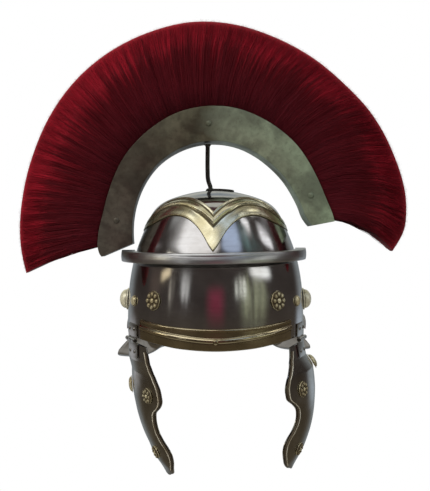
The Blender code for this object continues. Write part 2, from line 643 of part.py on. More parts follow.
def make_hinge(side, steel, iron):
    """Upper leaf on the bowl, lower leaf on the guard, and the pin through their knuckles."""
    sign = -1 if side == "left" else 1
    centre, along, out = hinge_frame(sign)
    up = np.array([0, 0, 1.0])
    move = swing_of(side)
    third = HINGE_WIDTH / 3
    upper_knuckles = [(-HINGE_WIDTH / 2, -HINGE_WIDTH / 2 + third - GAP - 0.1),
                      (HINGE_WIDTH / 2 - third + GAP + 0.1, HINGE_WIDTH / 2)]
    lower_knuckles = [(-HINGE_WIDTH / 2 + third, HINGE_WIDTH / 2 - third)]

    def knuckle(name, low, high, turned):
        pair = []
        for radius in (KNUCKLE, KNUCKLE_BORE):
            pair.append(np.array([ring_at(centre + along * a, out, up, radius, 10) for a in (low, high)]))
        rings = np.array([pair[0][0], pair[0][1], pair[1][1], pair[1][0], pair[0][0]])
        points, faces = loft(rings)
        points = points[:-10]
        count = len(points)
        faces = [tuple(v % count for v in face) for face in faces[2:]]
        return build(name, move(points) if turned else points, faces, steel, centre)

    def plate(name, low, high, bottom, top, turned, surface):
        rows = []
        for height in (bottom, (bottom + top) / 2, top):
            rows.append([surface(a, height) for a in np.linspace(low, high, 5)])
        outer = np.array([[p + out * LEAF_SHEET for p in row] for row in rows])
        points, faces = sheet(outer, np.array(rows))
        return build(name, move(points) if turned else points, faces, steel, centre)

    def on_wall(a, height):
        spot = centre + along * a
        degrees = math.degrees(math.atan2(spot[0], -spot[1] / PLAN))
        return wall_point(degrees, WALL - height, GAP)

    def on_cheek(a, height):
        spot = centre + along * a
        half = float(smooth(CHEEK[::-1, [0, 1]], min(height, -170.0)))
        length = float(smooth(CHEEK[::-1, [0, 2]], min(height, -170.0)))
        degrees = math.degrees(math.atan2(abs(spot[0]) / half, -spot[1] / length)) - CHEEK_AROUND[sign]
        place = cheek_surface(sign)(degrees, min(height, -170.0), GAP)
        return np.array([place[0], place[1], height])

    def head(name, surface, a, height, turned):
        def skin(u, v, lift):
            return surface(u, v) + out * (LEAF_SHEET - 2 * GAP + lift)
        return rosette(name, skin, a, height, 2.4, 1.7, 0, steel, move if turned else None, centre)

    half = HINGE_WIDTH / 2
    upper = plate("hinge_upper_" + side, -half, half, HINGE_HEIGHT + KNUCKLE + 0.5, LEAF_TOP, False, on_wall)
    helpers = []
    for i, (low, high) in enumerate(upper_knuckles):
        helpers.append(plate(f"upper_tab_{side}_{i}", low + 0.2, high - 0.2, HINGE_HEIGHT + 1.7,
                             HINGE_HEIGHT + KNUCKLE + 1.6, False, on_wall))
        helpers.append(knuckle(f"upper_knuckle_{side}_{i}", low, high, False))
        helpers.append(head(f"upper_head_{side}_{i}", on_wall, (i * 2 - 1) * 10.0, LEAF_HEADS[0], False))
    fuse(upper, helpers)
    lower = plate("hinge_lower_" + side, -half, half, LEAF_BOTTOM, HINGE_HEIGHT - KNUCKLE - 0.5, True,
                  on_cheek)
    helpers = []
    for low, high in lower_knuckles:
        helpers.append(plate("lower_tab_" + side, low + 0.2, high - 0.2, HINGE_HEIGHT - KNUCKLE - 1.6,
                             HINGE_HEIGHT - 1.7, True, on_cheek))
        helpers.append(knuckle("lower_knuckle_" + side, low, high, True))
    for i in range(2):
        helpers.append(head(f"lower_head_{side}_{i}", on_cheek, (i * 2 - 1) * 10.0, LEAF_HEADS[1], True))
    fuse(lower, helpers)
    stations = [(-half - 1.6, 1.7), (-half - GAP, 1.7), (-half - GAP, PIN), (half + GAP, PIN),
                (half + GAP, 1.7), (half + 1.6, 1.7)]
    rings = [ring_at(centre + along * a, out, up, r, 8) for a, r in stations]
    build("hinge_pin_" + side, *loft(np.array(rings)), iron, centre)


def make_cheek_bosses(side, metal):
    sign = -1 if side == "left" else 1
    surface = cheek_surface(sign)
    centre = hinge_frame(sign)[0]
    move = swing_of(side)
    for name, degrees, height, radius, relief, petals in CHEEK_RELIEFS[side]:
        rosette(f"{name}_{side}", surface, degrees, height, radius, relief, petals, metal, move, centre)


def make_side_pieces(side, metal, steel):
    """Rosettes and bosses on one side of the bowl."""
    sign = -1 if side == "left" else 1
    for name, degrees, depth, radius, relief, petals in WALL_RELIEFS:
        rosette(f"{name}_{side}", wall_point, sign * degrees, depth, radius, relief, petals, metal)
    make_ear_guard(side, steel)


def main():
    for old in list(bpy.data.objects):
        bpy.data.objects.remove(old)
    steel = bowl_steel()
    metal = brass()
    iron = dark_iron()
    plate = guard_steel()
    box_steel = crest_steel()
    make_bowl(steel)
    make_brow_ornament(metal)
    make_brow_band(metal)
    make_brow_guard(plate)
    make_crest_box(box_steel)
    make_crest_hair(crest_hair())
    make_crest_stem(iron)
    make_crest_holder(plate)
    for side in ("left", "right"):
        make_side_pieces(side, metal, plate)
        make_cheek_guard(side, plate)
        make_cheek_trim(side, metal)
        make_hinge(side, plate, iron)
        make_cheek_bosses(side, metal)


main()
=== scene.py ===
import math

import bmesh
import bpy
import numpy as np
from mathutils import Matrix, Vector


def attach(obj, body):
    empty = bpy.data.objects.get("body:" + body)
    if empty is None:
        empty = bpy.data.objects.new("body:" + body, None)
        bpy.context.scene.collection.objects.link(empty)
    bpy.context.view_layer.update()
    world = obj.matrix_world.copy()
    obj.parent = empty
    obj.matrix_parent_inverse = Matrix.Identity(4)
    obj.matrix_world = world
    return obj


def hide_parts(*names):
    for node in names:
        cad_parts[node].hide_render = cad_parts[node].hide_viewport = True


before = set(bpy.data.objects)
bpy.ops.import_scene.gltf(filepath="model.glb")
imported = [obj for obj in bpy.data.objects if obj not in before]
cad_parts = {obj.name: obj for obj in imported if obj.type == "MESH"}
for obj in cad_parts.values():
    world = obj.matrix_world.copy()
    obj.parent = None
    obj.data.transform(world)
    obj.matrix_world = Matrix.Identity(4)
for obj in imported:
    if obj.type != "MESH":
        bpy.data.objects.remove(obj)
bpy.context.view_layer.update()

mm = 0.001
fitGap = 0.4  # clear space between a fitted piece and what it sits on


# Curves and tables

def hermite(xs, ys, slopes, x):
    # Cubic pieces that pass through the points with the given slopes
    x = np.clip(x, xs[0], xs[-1])
    i = np.clip(np.searchsorted(xs, x) - 1, 0, len(xs) - 2)
    step = xs[i + 1] - xs[i]
    t = (x - xs[i]) / step
    return (ys[i] * (2 * t**3 - 3 * t**2 + 1) + slopes[i] * step * (t**3 - 2 * t**2 + t)
            + ys[i + 1] * (3 * t**2 - 2 * t**3) + slopes[i + 1] * step * (t**3 - t**2))


def cubic(pairs, x):
    # Cubic curve through (x, value) rows, each slope taken from the rows beside it
    xs, ys = np.array(pairs, float).T
    return hermite(xs, ys, np.gradient(ys, xs), x)


def columns(table, x):
    # The further columns of a table as cubic curves over its first column
    table = np.array(table, float)
    return [cubic(table[:, [0, i]], x) for i in range(1, table.shape[1])]


def steady(pairs, x):
    # Cubic curve that never overshoots: a slope is the harmonic mean of the two runs beside it, or 0
    xs, ys = np.array(pairs, float).T
    run = np.diff(ys) / np.diff(xs)
    before, after = run[:-1], run[1:]
    same = before * after > 0
    middle = np.where(same, 2 * before * after / np.where(same, before + after, 1), 0)
    return hermite(xs, ys, np.concatenate([[0], middle, [0]]), x)


def hump(t, middle, width):
    # Bell curve, 1 in the middle and 1/e one width away
    return np.exp(-((t - middle) / width) ** 2)


def rise(x, low, high):
    # Smooth step from 0 at low to 1 at high: 3 t squared less 2 t cubed
    t = np.clip((x - low) / (high - low), 0, 1)
    return t * t * (3 - 2 * t)


def unit(v):
    return v / np.maximum(np.linalg.norm(v, axis=-1, keepdims=True), 1e-12)


def xyz(*parts):
    return np.stack(np.broadcast_arrays(*parts), axis=-1)


def circle(count):
    return np.linspace(0, 2 * np.pi, count, endpoint=False)


# Bodies, each of them (points in millimetres, four-sided faces, three-sided faces)

def carried(rings, wrap=False, rungs=False):
    # A closed loop of points carried through n stations: rings[n, m, 3], with a fan of triangles on each end,
    # or with rungs between the loop's first half and its mirrored second half
    rows, cols = rings.shape[:2]
    points = rings.reshape(-1, 3)
    i, j = np.arange(rows if wrap else rows - 1)[:, None] * cols, np.arange(cols)
    k, after = (j + 1) % cols, (i + cols) % (rows * cols)
    quads = np.stack([i + j, after + j, after + k, i + k], axis=-1).reshape(-1, 4)
    last = (rows - 1) * cols
    if rungs:
        a = j[:cols // 2 - 1]
        rung = np.stack([a, a + 1, cols - 2 - a, cols - 1 - a], axis=1)
        quads = np.concatenate([quads, rung, rung[:, ::-1] + last])
    if wrap or rungs:
        return points, quads, np.zeros((0, 3), int)
    middle = np.full(cols, rows * cols)
    ends = np.stack([rings[0].mean(axis=0), rings[-1].mean(axis=0)])
    fans = [np.stack([j, k, middle], axis=1), np.stack([last + k, last + j, middle + 1], axis=1)]
    return np.concatenate([points, ends]), quads, np.concatenate(fans)


def joined(bodies):
    # Several bodies as one: each body's faces count on from the points before it
    starts = np.cumsum([0] + [len(body[0]) for body in bodies])
    moved = [(p, q + n, t + n) for (p, q, t), n in zip(bodies, starts)]
    return [np.concatenate(parts) for parts in zip(*moved)]


def roundLoops(corners, radius):
    # Loops corners[..., n, d] with each corner replaced by a parabola that leaves its sides at radius
    start, stop = [corners + unit(v) * np.minimum(radius, 0.45 * np.linalg.norm(v, axis=-1, keepdims=True))
                   for v in (np.roll(corners, way, axis=-2) - corners for way in (1, -1))]
    arcs = [start * (1 - t) ** 2 + corners * 2 * t * (1 - t) + stop * t * t for t in np.linspace(0, 1, 4)]
    return np.stack(arcs, axis=-2).reshape(*corners.shape[:-2], -1, corners.shape[-1])


def turned(profile, place, count=48, wrap=False):
    # (radius, height) rows turned round the normal of place, which is (point, normal, along)
    point, normal, along = place
    angle = circle(count)[:, None]
    ring = np.cos(angle) * along + np.sin(angle) * np.cross(normal, along)
    radius, height = np.array(profile, float).T[..., None, None]
    return carried(point + height * normal + radius * ring, wrap)


def placeOn(surface, u, v, out=0.0):
    # Point, outward normal and tangent of a surface of two parameters
    step = 0.5
    point = surface(u, v, out)
    along = surface(u + step, v, out) - surface(u - step, v, out)
    normal = np.cross(along, surface(u, v + step, out) - surface(u, v - step, out))
    normal = unit(normal * np.sign(np.dot(normal, surface(u, v, out + 1.0) - point)))
    return point, normal, unit(along - normal * np.dot(along, normal))


def domedHead(place, radius, height, count=32):
    # A rivet or boss: a low rim step, then a quarter ellipse up to the crown
    t = np.linspace(0, np.pi / 2, 9)[1:-1]
    rows = [(radius * 0.98, 0), (radius, height * 0.06), (radius * 0.97, height * 0.14),
            *zip(radius * 0.93 * np.cos(t), height * (0.16 + 0.84 * np.sin(t))), (0.02, height)]
    return turned(rows, place, count)


def steppedBoss(place, radius, height):
    # Turned boss: a thin flange, a hollow step and a high dome, with the dirt of each point
    t = np.linspace(0, np.pi / 2, 12)[:-1]
    rows = [(radius * 0.97, 0), (radius, height * 0.07), (radius * 0.98, height * 0.14),
            (radius * 0.92, height * 0.16), (radius * 0.87, height * 0.18),
            *zip(radius * 0.86 * np.cos(t), height * (0.24 + 0.76 * np.sin(t))), (0.02, height)]
    grime = [0.2, 0.2, 0.2, 1.0, 1.0, *np.linspace(0.5, 0, 11), 0]
    return turned(rows, place), np.append(np.repeat(grime, 48), [0, 0])


def flower(place, radius, height, petals, count=96, rings=26):
    # Rosette: height over the disc is a sum of petal lobes, a ring of beads and a button in the middle
    point, normal, along = place
    angle = circle(count)[None, :]
    r = np.linspace(0, 1, rings)[:, None]
    lobe = np.abs(np.cos(petals * angle / 2))
    petal = lobe**0.6 * np.sin(np.pi * np.clip((r - 0.36) / 0.6, 0, 1)) ** 0.7
    button = np.sqrt(np.clip(1 - (r / 0.27) ** 2, 0, 1))
    collar = hump(r, 0.34, 0.045) * (0.6 + 0.4 * np.cos(2 * petals * angle))
    lift = 0.3 + 0.48 * petal + 0.62 * button + 0.3 * collar
    lift = lift * np.sqrt(np.clip(1 - (np.clip(r - 0.93, 0, 1) / 0.071) ** 2, 0.02, 1))
    edge = 1 + 0.06 * (lobe - 0.6) * rise(r, 0.5, 1)
    flat = radius * (np.cos(angle)[..., None] * along + np.sin(angle)[..., None] * np.cross(normal, along))
    top = point + flat * (r * edge)[..., None] + normal * (height * lift / 0.92)[..., None]
    under = point + flat * (np.array([[1.0], [0.5]]) * edge[-1:])[..., None]
    grime = np.clip(1.15 - 1.6 * (lift - 0.3), 0, 1) * rise(r, 0.1, 0.3) * rise(1 - r, 0, 0.05)
    return carried(np.concatenate([top[1:], under])), np.append(grime[1:], np.zeros(2 * count + 2))


def addPiece(name, bodyName, nodes, surface, bodies, sharp=35, fields=None, sort=True):
    # Puts closed bodies into one mesh object in metres and ties it to the frame
    points, quads, tris = joined(bodies)
    mesh = bpy.data.meshes.new(name)
    mesh.from_pydata(points * mm, [], quads.tolist() + tris.tolist())
    for key, values in (fields or {}).items():
        layer = mesh.attributes.new(key, "FLOAT", "POINT")
        layer.data.foreach_set("value", np.asarray(values, np.float32).ravel())
    if sort:
        work = bmesh.new()
        work.from_mesh(mesh)
        bmesh.ops.remove_doubles(work, verts=work.verts, dist=1e-6)
        bmesh.ops.recalc_face_normals(work, faces=work.faces)
        work.to_mesh(mesh)
        work.free()
    mesh.polygons.foreach_set("use_smooth", np.ones(len(mesh.polygons), bool))
    if sharp:
        mesh.set_sharp_from_angle(angle=math.radians(sharp))
    mesh.materials.append(surface)
    piece = bpy.data.objects.new(name, mesh)
    bpy.context.scene.collection.objects.link(piece)
    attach(piece, bodyName)
    if nodes:
        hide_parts(*nodes)


# Shader maths

def operator(operation, swapped=False):
    return lambda a, b: a.paint.math(operation, *((b, a) if swapped else (a, b)))


class Term:  # an output socket that Python's operators work on
    def __init__(self, paint, socket):
        self.paint, self.socket = paint, socket

    __add__, __radd__ = operator("ADD"), operator("ADD", True)
    __sub__, __rsub__ = operator("SUBTRACT"), operator("SUBTRACT", True)
    __mul__, __rmul__ = operator("MULTIPLY"), operator("MULTIPLY", True)
    __truediv__, __rtruediv__ = operator("DIVIDE"), operator("DIVIDE", True)
    __pow__, __rpow__ = operator("POWER"), operator("POWER", True)


class Paint:  # builds one node tree
    def __init__(self, tree):
        self.tree = tree

    def node(self, kind, settings=None, values=None):
        made = self.tree.nodes.new("ShaderNode" + kind)
        for key, value in (settings or {}).items():
            if key == "stops":
                ramp = made.color_ramp
                for position, _ in value[1:-1]:
                    ramp.elements.new(position)
                for element, (position, colour) in zip(ramp.elements, value):
                    element.position = position
                    element.color = (*colour, 1)
            else:
                setattr(made, key, value)
        for key, value in (values or {}).items():
            if isinstance(value, Term):
                self.tree.links.new(value.socket, made.inputs[key])
            else:
                made.inputs[key].default_value = value
        return made

    def term(self, kind, settings=None, values=None, output=0):
        return Term(self, self.node(kind, settings, values).outputs[output])

    def math(self, operation, *values):
        return self.term("Math", {"operation": operation}, dict(enumerate(values)))

    def step(self, value, low, high):
        return self.term("MapRange", {"interpolation_type": "SMOOTHSTEP"},
                         {"Value": value, "From Min": low, "From Max": high})

    def mix(self, share, first, second, blend="MIX"):
        first, second = [v if isinstance(v, Term) else (*v, 1) for v in (first, second)]
        values = {0: share, 6: first, 7: second}
        return self.term("Mix", {"data_type": "RGBA", "blend_type": blend}, values, 2)

    def place(self):
        return self.term("TexCoord", output="Object")

    def split(self, vector):
        made = self.node("SeparateXYZ", None, {0: vector})
        return [Term(self, socket) for socket in made.outputs]

    def combine(self, x, y, z):
        return self.term("CombineXYZ", None, {0: x, 1: y, 2: z})

    def noise(self, place, scale, detail=3.0, rough=0.55, distortion=0.0):
        return self.term("TexNoise", None, {"Vector": place, "Scale": scale, "Detail": detail,
                                            "Roughness": rough, "Distortion": distortion})

    def field(self, name):
        return self.term("Attribute", {"attribute_name": name}, None, "Fac")

    def byRay(self, seen, mirrored):
        # One shader for what the camera sees, another for what metal mirrors
        path = self.term("LightPath", output="Is Camera Ray")
        return self.term("MixShader", None, {0: path, 1: mirrored, 2: seen})

    def finish(self, shader, output="OutputMaterial"):
        self.node(output, None, {"Surface": shader})


def newPaint(owner):
    owner.use_nodes = True
    owner.node_tree.nodes.clear()
    return Paint(owner.node_tree)


metalDefaults = dict(
    metallic=1, cloudScale=22, smudgeScale=30, grain=(60, 60, 900), speckle=0.12, grainTone=0.1, rough=0.15,
    smudge=0.1, grainRough=0.08, waveScale=26, wave=0.12, grainDepth=0.004, tones=None, grime=0)


def metal(name, **look):
    # Metal with clouds of tint, fine rubbing marks along one direction and smudges; a field darkens it with
    # dirt in the grooves and, on some pieces, painted shade; a tone table, where given, adds bands of painted
    # reflection
    look = {**metalDefaults, **look}
    made = bpy.data.materials.new(name)
    paint = newPaint(made)
    place = paint.place()
    clouds = paint.step(paint.noise(place, look["cloudScale"], 3, 0.6, 0.4), 0.36, 0.66)
    specks = paint.noise(place, look["cloudScale"] * 9, 4, 0.65)
    marks = paint.noise(paint.term("Mapping", None, {"Vector": place, "Scale": look["grain"]}), 1, 3, 0.6)
    smudge = paint.step(paint.noise(place, look["smudgeScale"], 4, 0.65, 0.8), 0.42, 0.72)
    colour = paint.mix(clouds, look["colour"], look["tint"])
    colour = paint.mix(paint.step(specks, 0.5, 0.78) * look["speckle"], colour, look["dark"])
    colour = paint.mix(paint.step(marks, 0.35, 0.75) * look["grainTone"], colour, look["dark"])
    roughness = look["rough"] + smudge * look["smudge"] + marks * look["grainRough"]
    # Bands of painted reflection along the piece's arc, taken from the tone table
    if look["tones"]:
        level = paint.field("arc") + (clouds - 0.5) * 0.05
        tones = paint.term("ValToRGB", {"stops": look["tones"]}, {"Fac": level})
        colour = paint.mix(1, colour, tones, "MULTIPLY")
    # Darkening from the field: dirt in the grooves, and painted shade where a piece puts it there
    if look["grime"]:
        dirt = paint.step(paint.field("grime") + (specks - 0.5) * 0.5, 0.3, 0.85)
        colour = paint.mix(dirt * look["grime"], colour, look["dirt"])
        roughness = roughness + dirt * 0.25
    height = paint.noise(place, look["waveScale"], 1, 0.4) * look["wave"] + marks * look["grainDepth"]
    bump = paint.term("Bump", None, {"Height": height, "Strength": 1, "Distance": mm})
    looks = {"Base Color": colour, "Roughness": roughness, "Normal": bump, "Metallic": look["metallic"]}
    paint.finish(paint.term("BsdfPrincipled", None, looks))
    return made


bowlSteel = metal(
    "polished bowl steel", colour=(0.58, 0.57, 0.57), tint=(0.5, 0.48, 0.47), dark=(0.2, 0.17, 0.16),
    rough=0.07, smudge=0.07, grain=(26, 26, 420))
barSteel = metal(
    "satin bar steel", colour=(0.78, 0.78, 0.79), tint=(0.62, 0.62, 0.63), dark=(0.24, 0.23, 0.24),
    rough=0.26, smudge=0.08, grain=(20, 20, 800), grainTone=0.25, grainDepth=0.006)
guardSteel = metal(
    "dark cheek guard steel", colour=(0.5, 0.49, 0.47), tint=(0.36, 0.33, 0.28), dark=(0.1, 0.085, 0.07),
    rough=0.13, grain=(90, 90, 140), speckle=0.3, wave=0.4)
# Olive tarnish, plus a tone table of painted reflections: darker bands on the left of the arch, pale
# grey-green on the right
boxSteel = metal(
    "tarnished crest box steel with painted reflections", colour=(0.47, 0.53, 0.38), tint=(0.24, 0.255, 0.19),
    dark=(0.12, 0.11, 0.08), metallic=0.6, cloudScale=26, rough=0.26, smudge=0.2, grain=(160, 40, 160),
    speckle=0.45, grainTone=0.25, wave=0.4,
    tones=[(0, (0.29, 0.23, 0.25)), (0.26, (0.23, 0.18, 0.18)), (0.38, (0.32, 0.27, 0.25)),
           (0.46, (0.24, 0.2, 0.18)), (0.52, (0.64, 0.66, 0.64)), (1, (0.74, 0.83, 0.77))])
browBrass = metal(
    "pale brow brass", colour=(1, 0.96, 0.74), tint=(0.7, 0.63, 0.4), dark=(0.3, 0.23, 0.12),
    cloudScale=30, rough=0.17, smudge=0.12, grain=(60, 60, 60), grime=0.85, dirt=(0.12, 0.09, 0.04),
    wave=0.3)
bandBrass = metal(
    "antique band brass", colour=(0.71, 0.61, 0.41), tint=(0.53, 0.45, 0.29), dark=(0.2, 0.15, 0.09),
    rough=0.11, smudge=0.08, grain=(30, 30, 500), speckle=0.25, grainTone=0.2, wave=0.05, grainDepth=0.001,
    grime=0.6, dirt=(0.16, 0.12, 0.075))
# Bright brass that the cheek edging's field turns into a painted highlight along the wire's crest, with
# painted shade on its flanks
edgeBrass = metal(
    "edging brass with painted crest highlight", colour=(0.95, 0.9, 0.75), tint=(0.5, 0.43, 0.3), dark=(0.16, 0.12, 0.07),
    metallic=0.6, cloudScale=60, rough=0.2, smudge=0.08, grain=(200, 200, 60), speckle=0.2, wave=0.05,
    grainDepth=0.001, grime=1, dirt=(0.085, 0.065, 0.042))
bossBrass = metal(
    "worn boss brass", colour=(0.82, 0.75, 0.5), tint=(0.62, 0.52, 0.3), dark=(0.2, 0.14, 0.06),
    metallic=0.75, cloudScale=60, rough=0.2, smudge=0.15, grain=(200, 200, 200), speckle=0.3, grime=0.95,
    dirt=(0.08, 0.055, 0.03))
domeBrass = metal(
    "pale dome brass", colour=(1, 0.96, 0.76), tint=(0.82, 0.77, 0.54), dark=(0.2, 0.15, 0.07),
    metallic=0.6, cloudScale=60, rough=0.24, grain=(200, 200, 200), speckle=0.25, grime=0.95,
    dirt=(0.1, 0.08, 0.04))
darkIron = metal(
    "dark iron", colour=(0.13, 0.13, 0.12), tint=(0.08, 0.075, 0.07), dark=(0.03, 0.03, 0.03),
    cloudScale=90, rough=0.38, smudge=0.15, speckle=0.4, grain=(300, 300, 60))
print("metals made")


# Bowl

bowl = {
    "profile": [(0, 0), (1.2, 18.4), (4.9, 36.2), (8.6, 48.6), (12.2, 57.8), (15.8, 64.2), (19.4, 68.8),
                (23, 72), (27, 74.8), (32, 77.5), (38, 80.3), (47.9, 84.5), (54.9, 87.4), (62, 90.2),
                (70, 93), (80, 95.9), (92, 98.5), (107, 101), (125, 102.6), (145, 103.2), (172.6, 102.8),
                (205, 100.4)],
    "plan": 1.135, "wall": 1.5, "columns": 240, "domeRows": 84, "guardRows": 14, "lip": 0.75,
    "flatSide": (134, 28),  # where the neck guard is a little shorter and flatter, and how widely
    # depth of the rim, and reach and drop of the neck guard, by the angle away from the front
    "rim": [(0, 172.6), (20, 171.3), (37, 168.4), (52, 166), (70, 164.8), (86, 164), (91, 158), (97, 151),
            (104, 149), (110, 152), (115, 162), (119, 178), (123, 190), (130, 194), (141, 189), (150, 188),
            (180, 186)],
    "reach": [(0, 0), (114, 0), (118, 24), (122, 49), (128, 62), (136, 65), (150, 63), (180, 60)],
    "drop": [(0, 0), (113, 0), (120, 14), (130, 20), (141, 18), (150, 15), (180, 12)],
}


def smoothProfile():
    # The profile against the root of depth, evened by a bell-shaped running mean for clean reflections
    depth, width = np.array(bowl["profile"], float).T
    root = np.sqrt(depth)
    fine = np.linspace(0, root[-1], 700)
    width = cubic(np.stack([root, width], axis=1), fine)
    reach, spread = 60, 26
    bell = hump(np.arange(-reach, reach + 1), 0, spread)
    padded = np.concatenate([-width[reach:0:-1], width, 2 * width[-1] - width[-2:-reach - 2:-1]])
    width = np.convolve(padded, bell / bell.sum(), mode="valid")
    return fine, width, np.gradient(width, fine)


profileRoot, profileWidth, profileSlope = smoothProfile()


def onBowl(degrees, depth, out=0.0):
    # Oval dome: (w sin a, -plan w cos a, wall - depth) with w(depth), moved out along the surface's normal
    root, plan = np.sqrt(np.maximum(depth, 1e-6)), bowl["plan"]
    width, slope = [np.interp(root, profileRoot, values) for values in (profileWidth, profileSlope)]
    east, north = np.sin(np.radians(degrees)), -np.cos(np.radians(degrees))
    normal = unit(xyz(2 * root * plan * east, 2 * root * north, plan * slope))
    return xyz(width * east, plan * width * north, bowl["wall"] - depth) + normal * np.asarray(out)[..., None]


def strip(degrees, depth, gap, lift, skip, grime):
    # A strip laid on the bowl, its back drawn through every few of its rows, and the dirt and painted shade
    # of each point
    outer, inner = onBowl(degrees, depth, gap + lift), onBowl(degrees, depth[:, ::-skip], gap)
    dirt = np.pad(np.clip(grime, 0, 1), ((0, 0), (0, inner.shape[1])))
    return carried(np.concatenate([outer, inner], axis=1)), np.append(dirt, [0, 0])


def makeBowl():
    # Rows run from the crown to the rim, on through the neck guard, round its lip and back up inside
    degrees = np.linspace(-180, 180, bowl["columns"], endpoint=False)
    rim, reach, drop = [steady(bowl[key], np.abs(degrees)) for key in ("rim", "reach", "drop")]
    near = hump(degrees, *bowl["flatSide"])
    reach, drop, rim = reach * (1 - 0.12 * near), drop * (0.95 - 0.4 * near), rim - 2.5 * near
    depth = rim * np.linspace(0, 1, bowl["domeRows"])[:, None] ** 1.7
    outer, inner = onBowl(degrees, depth), onBowl(degrees, depth, -bowl["wall"])
    turn = np.linspace(0, np.pi / 2, bowl["guardRows"] + 1)[1:, None]
    east, north = np.sin(np.radians(degrees)), -np.cos(np.radians(degrees))
    base = np.interp(np.sqrt(rim), profileRoot, profileWidth)
    width = base + reach * (1 - np.cos(turn))
    length = width * bowl["plan"] - (bowl["plan"] - 1) * (width - base)
    guard = xyz(width * east, length * north, bowl["wall"] - rim - drop * np.sin(turn))
    size = np.maximum(np.hypot(reach * np.sin(turn), drop * np.cos(turn)), 1e-6)
    across, up = drop * np.cos(turn) / size, reach * np.sin(turn) / size
    under = guard - xyz(across * east, across * north, up) * bowl["wall"]
    plain = (reach < 0.1)[:, None]
    outer = np.concatenate([outer, np.where(plain, outer[-1:], guard)])
    inner = np.concatenate([inner, np.where(plain, inner[-1:], under)])
    middle, half = (outer[-1] + inner[-1]) / 2, (outer[-1] - inner[-1]) / 2
    tangent = np.roll(outer[-1], -1, axis=0) - np.roll(outer[-1], 1, axis=0)
    edge = unit(np.cross(tangent, half))
    edge *= np.sign(np.sum(edge * (outer[-1] - outer[-bowl["guardRows"] - 6]), axis=1, keepdims=True))
    lip = [middle + half * np.cos(t) + edge * bowl["lip"] * np.sin(t) for t in np.radians([35, 70, 110, 145])]
    addPiece("helmet_bowl", "shell", ["bowl"], bowlSteel,
             [carried(np.concatenate([outer, lip, inner[::-1]]))], sharp=50)


makeBowl()
print("bowl made")


# Brow ornament: eyebrows that meet in a V, with a rolled upper edge, a sharp ridge and a flat lower plate

brow = {
    # angle away from the middle, depths of the upper and lower edges, and the ridge's share of the way across
    "rows": [(0, 29.2, 71.8, 0.27), (2.5, 25.8, 66.6, 0.28), (5.2, 23, 59.2, 0.3), (7.8, 20.9, 53, 0.32),
             (10.4, 19.2, 48, 0.34), (14.5, 17, 42.2, 0.38), (19, 15.2, 37.8, 0.37),
             (24.2, 13.9, 34.8, 0.36), (31, 13.1, 33.1, 0.36), (38.7, 13.3, 33.2, 0.37),
             (45, 14.5, 35.3, 0.37), (51.1, 16.6, 38.2, 0.38), (58, 21.8, 41.2, 0.4),
             (65, 28.5, 43.6, 0.45), (72, 33.6, 45.4, 0.5), (80, 37, 46.8, 0.5), (88, 39.4, 48, 0.5),
             (95, 42.6, 48.8, 0.5), (100, 46, 48.4, 0.5)],
    "end": 100, "gap": 0.5, "plate": 1.0, "bead": 1.3, "ridge": 2.5, "lip": 0.4, "swell": 0.5, "round": 0.03,
    "columns": 281, "across": 44, "shift": -1.7,
}


def makeBrow():
    # Height across the strip: a plate, a bead on the upper edge, and a ridge that is steep below its crest
    u = np.linspace(-1, 1, brow["columns"])[:, None]
    degrees = brow["end"] * (0.3 * u + 0.7 * u**3)
    away = np.abs(degrees)
    upper, lower, crest = columns(brow["rows"], away)
    t = np.linspace(0, 1, brow["across"])
    fade, side = 0.15 + 0.85 * rise(-away, -80, -48), rise(away, 8, 22)  # flatter at the ends and in the V
    above = np.exp(-np.abs((t - crest) / (0.5 * crest)) ** 1.6)
    below = np.exp(-np.abs((t - crest) / 0.085) ** 1.5)
    forms = brow["bead"] * hump(t, 0.05, 0.04) + brow["ridge"] * np.where(t < crest, above, below)
    swell = np.sin(np.pi * np.clip((t - crest) / (1 - crest), 0, 1))
    forms = forms + side * (brow["lip"] * hump(t, 0.965, 0.022) + brow["swell"] * swell)
    inside = np.minimum(np.minimum(t, 1 - t) / brow["round"], 1)
    lift = brow["plate"] * (0.4 + 0.6 * fade) + forms * fade
    lift = lift * np.sqrt(np.clip(1 - (1 - inside) ** 2, 0.05, 1))
    # Dark patina in the trough and along both edges, and a painted shade line below the ridge's steep side
    grime = (hump(t, 0.14, 0.05) + 1.1 * hump(t, crest + 0.12, 0.05) + 0.8 * hump(t, 1, 0.02)
             + 0.5 * hump(t, 0, 0.015))
    body, dirt = strip(degrees + brow["shift"] * (1 - (away / brow["end"]) ** 2), upper + (lower - upper) * t,
                       brow["gap"], lift, 6, grime)
    addPiece("brow_eyebrows", "shell", ["brow_ornament"], browBrass, [body], 60, {"grime": dirt})


makeBrow()


# Band round the front rim

band = {
    # angle and depths of the upper edge and of the bead, with a first row that keeps the middle level
    "rows": [(-22, 149.2, 160.2), (0, 150.4, 163.2), (22, 149.2, 160.2), (33, 147.8, 158),
             (45, 145.8, 155.2), (51, 144.8, 153.6)],
    "end": 51, "thick": 1.1, "bead": 1.8, "above": 3.6, "below": 1.9, "line": 0.35, "columns": 181,
    "steps": (16, 12, 10, 14), "rivet": (0, 163.2, 3, 2),  # rivet's angle, depth, radius and height
}


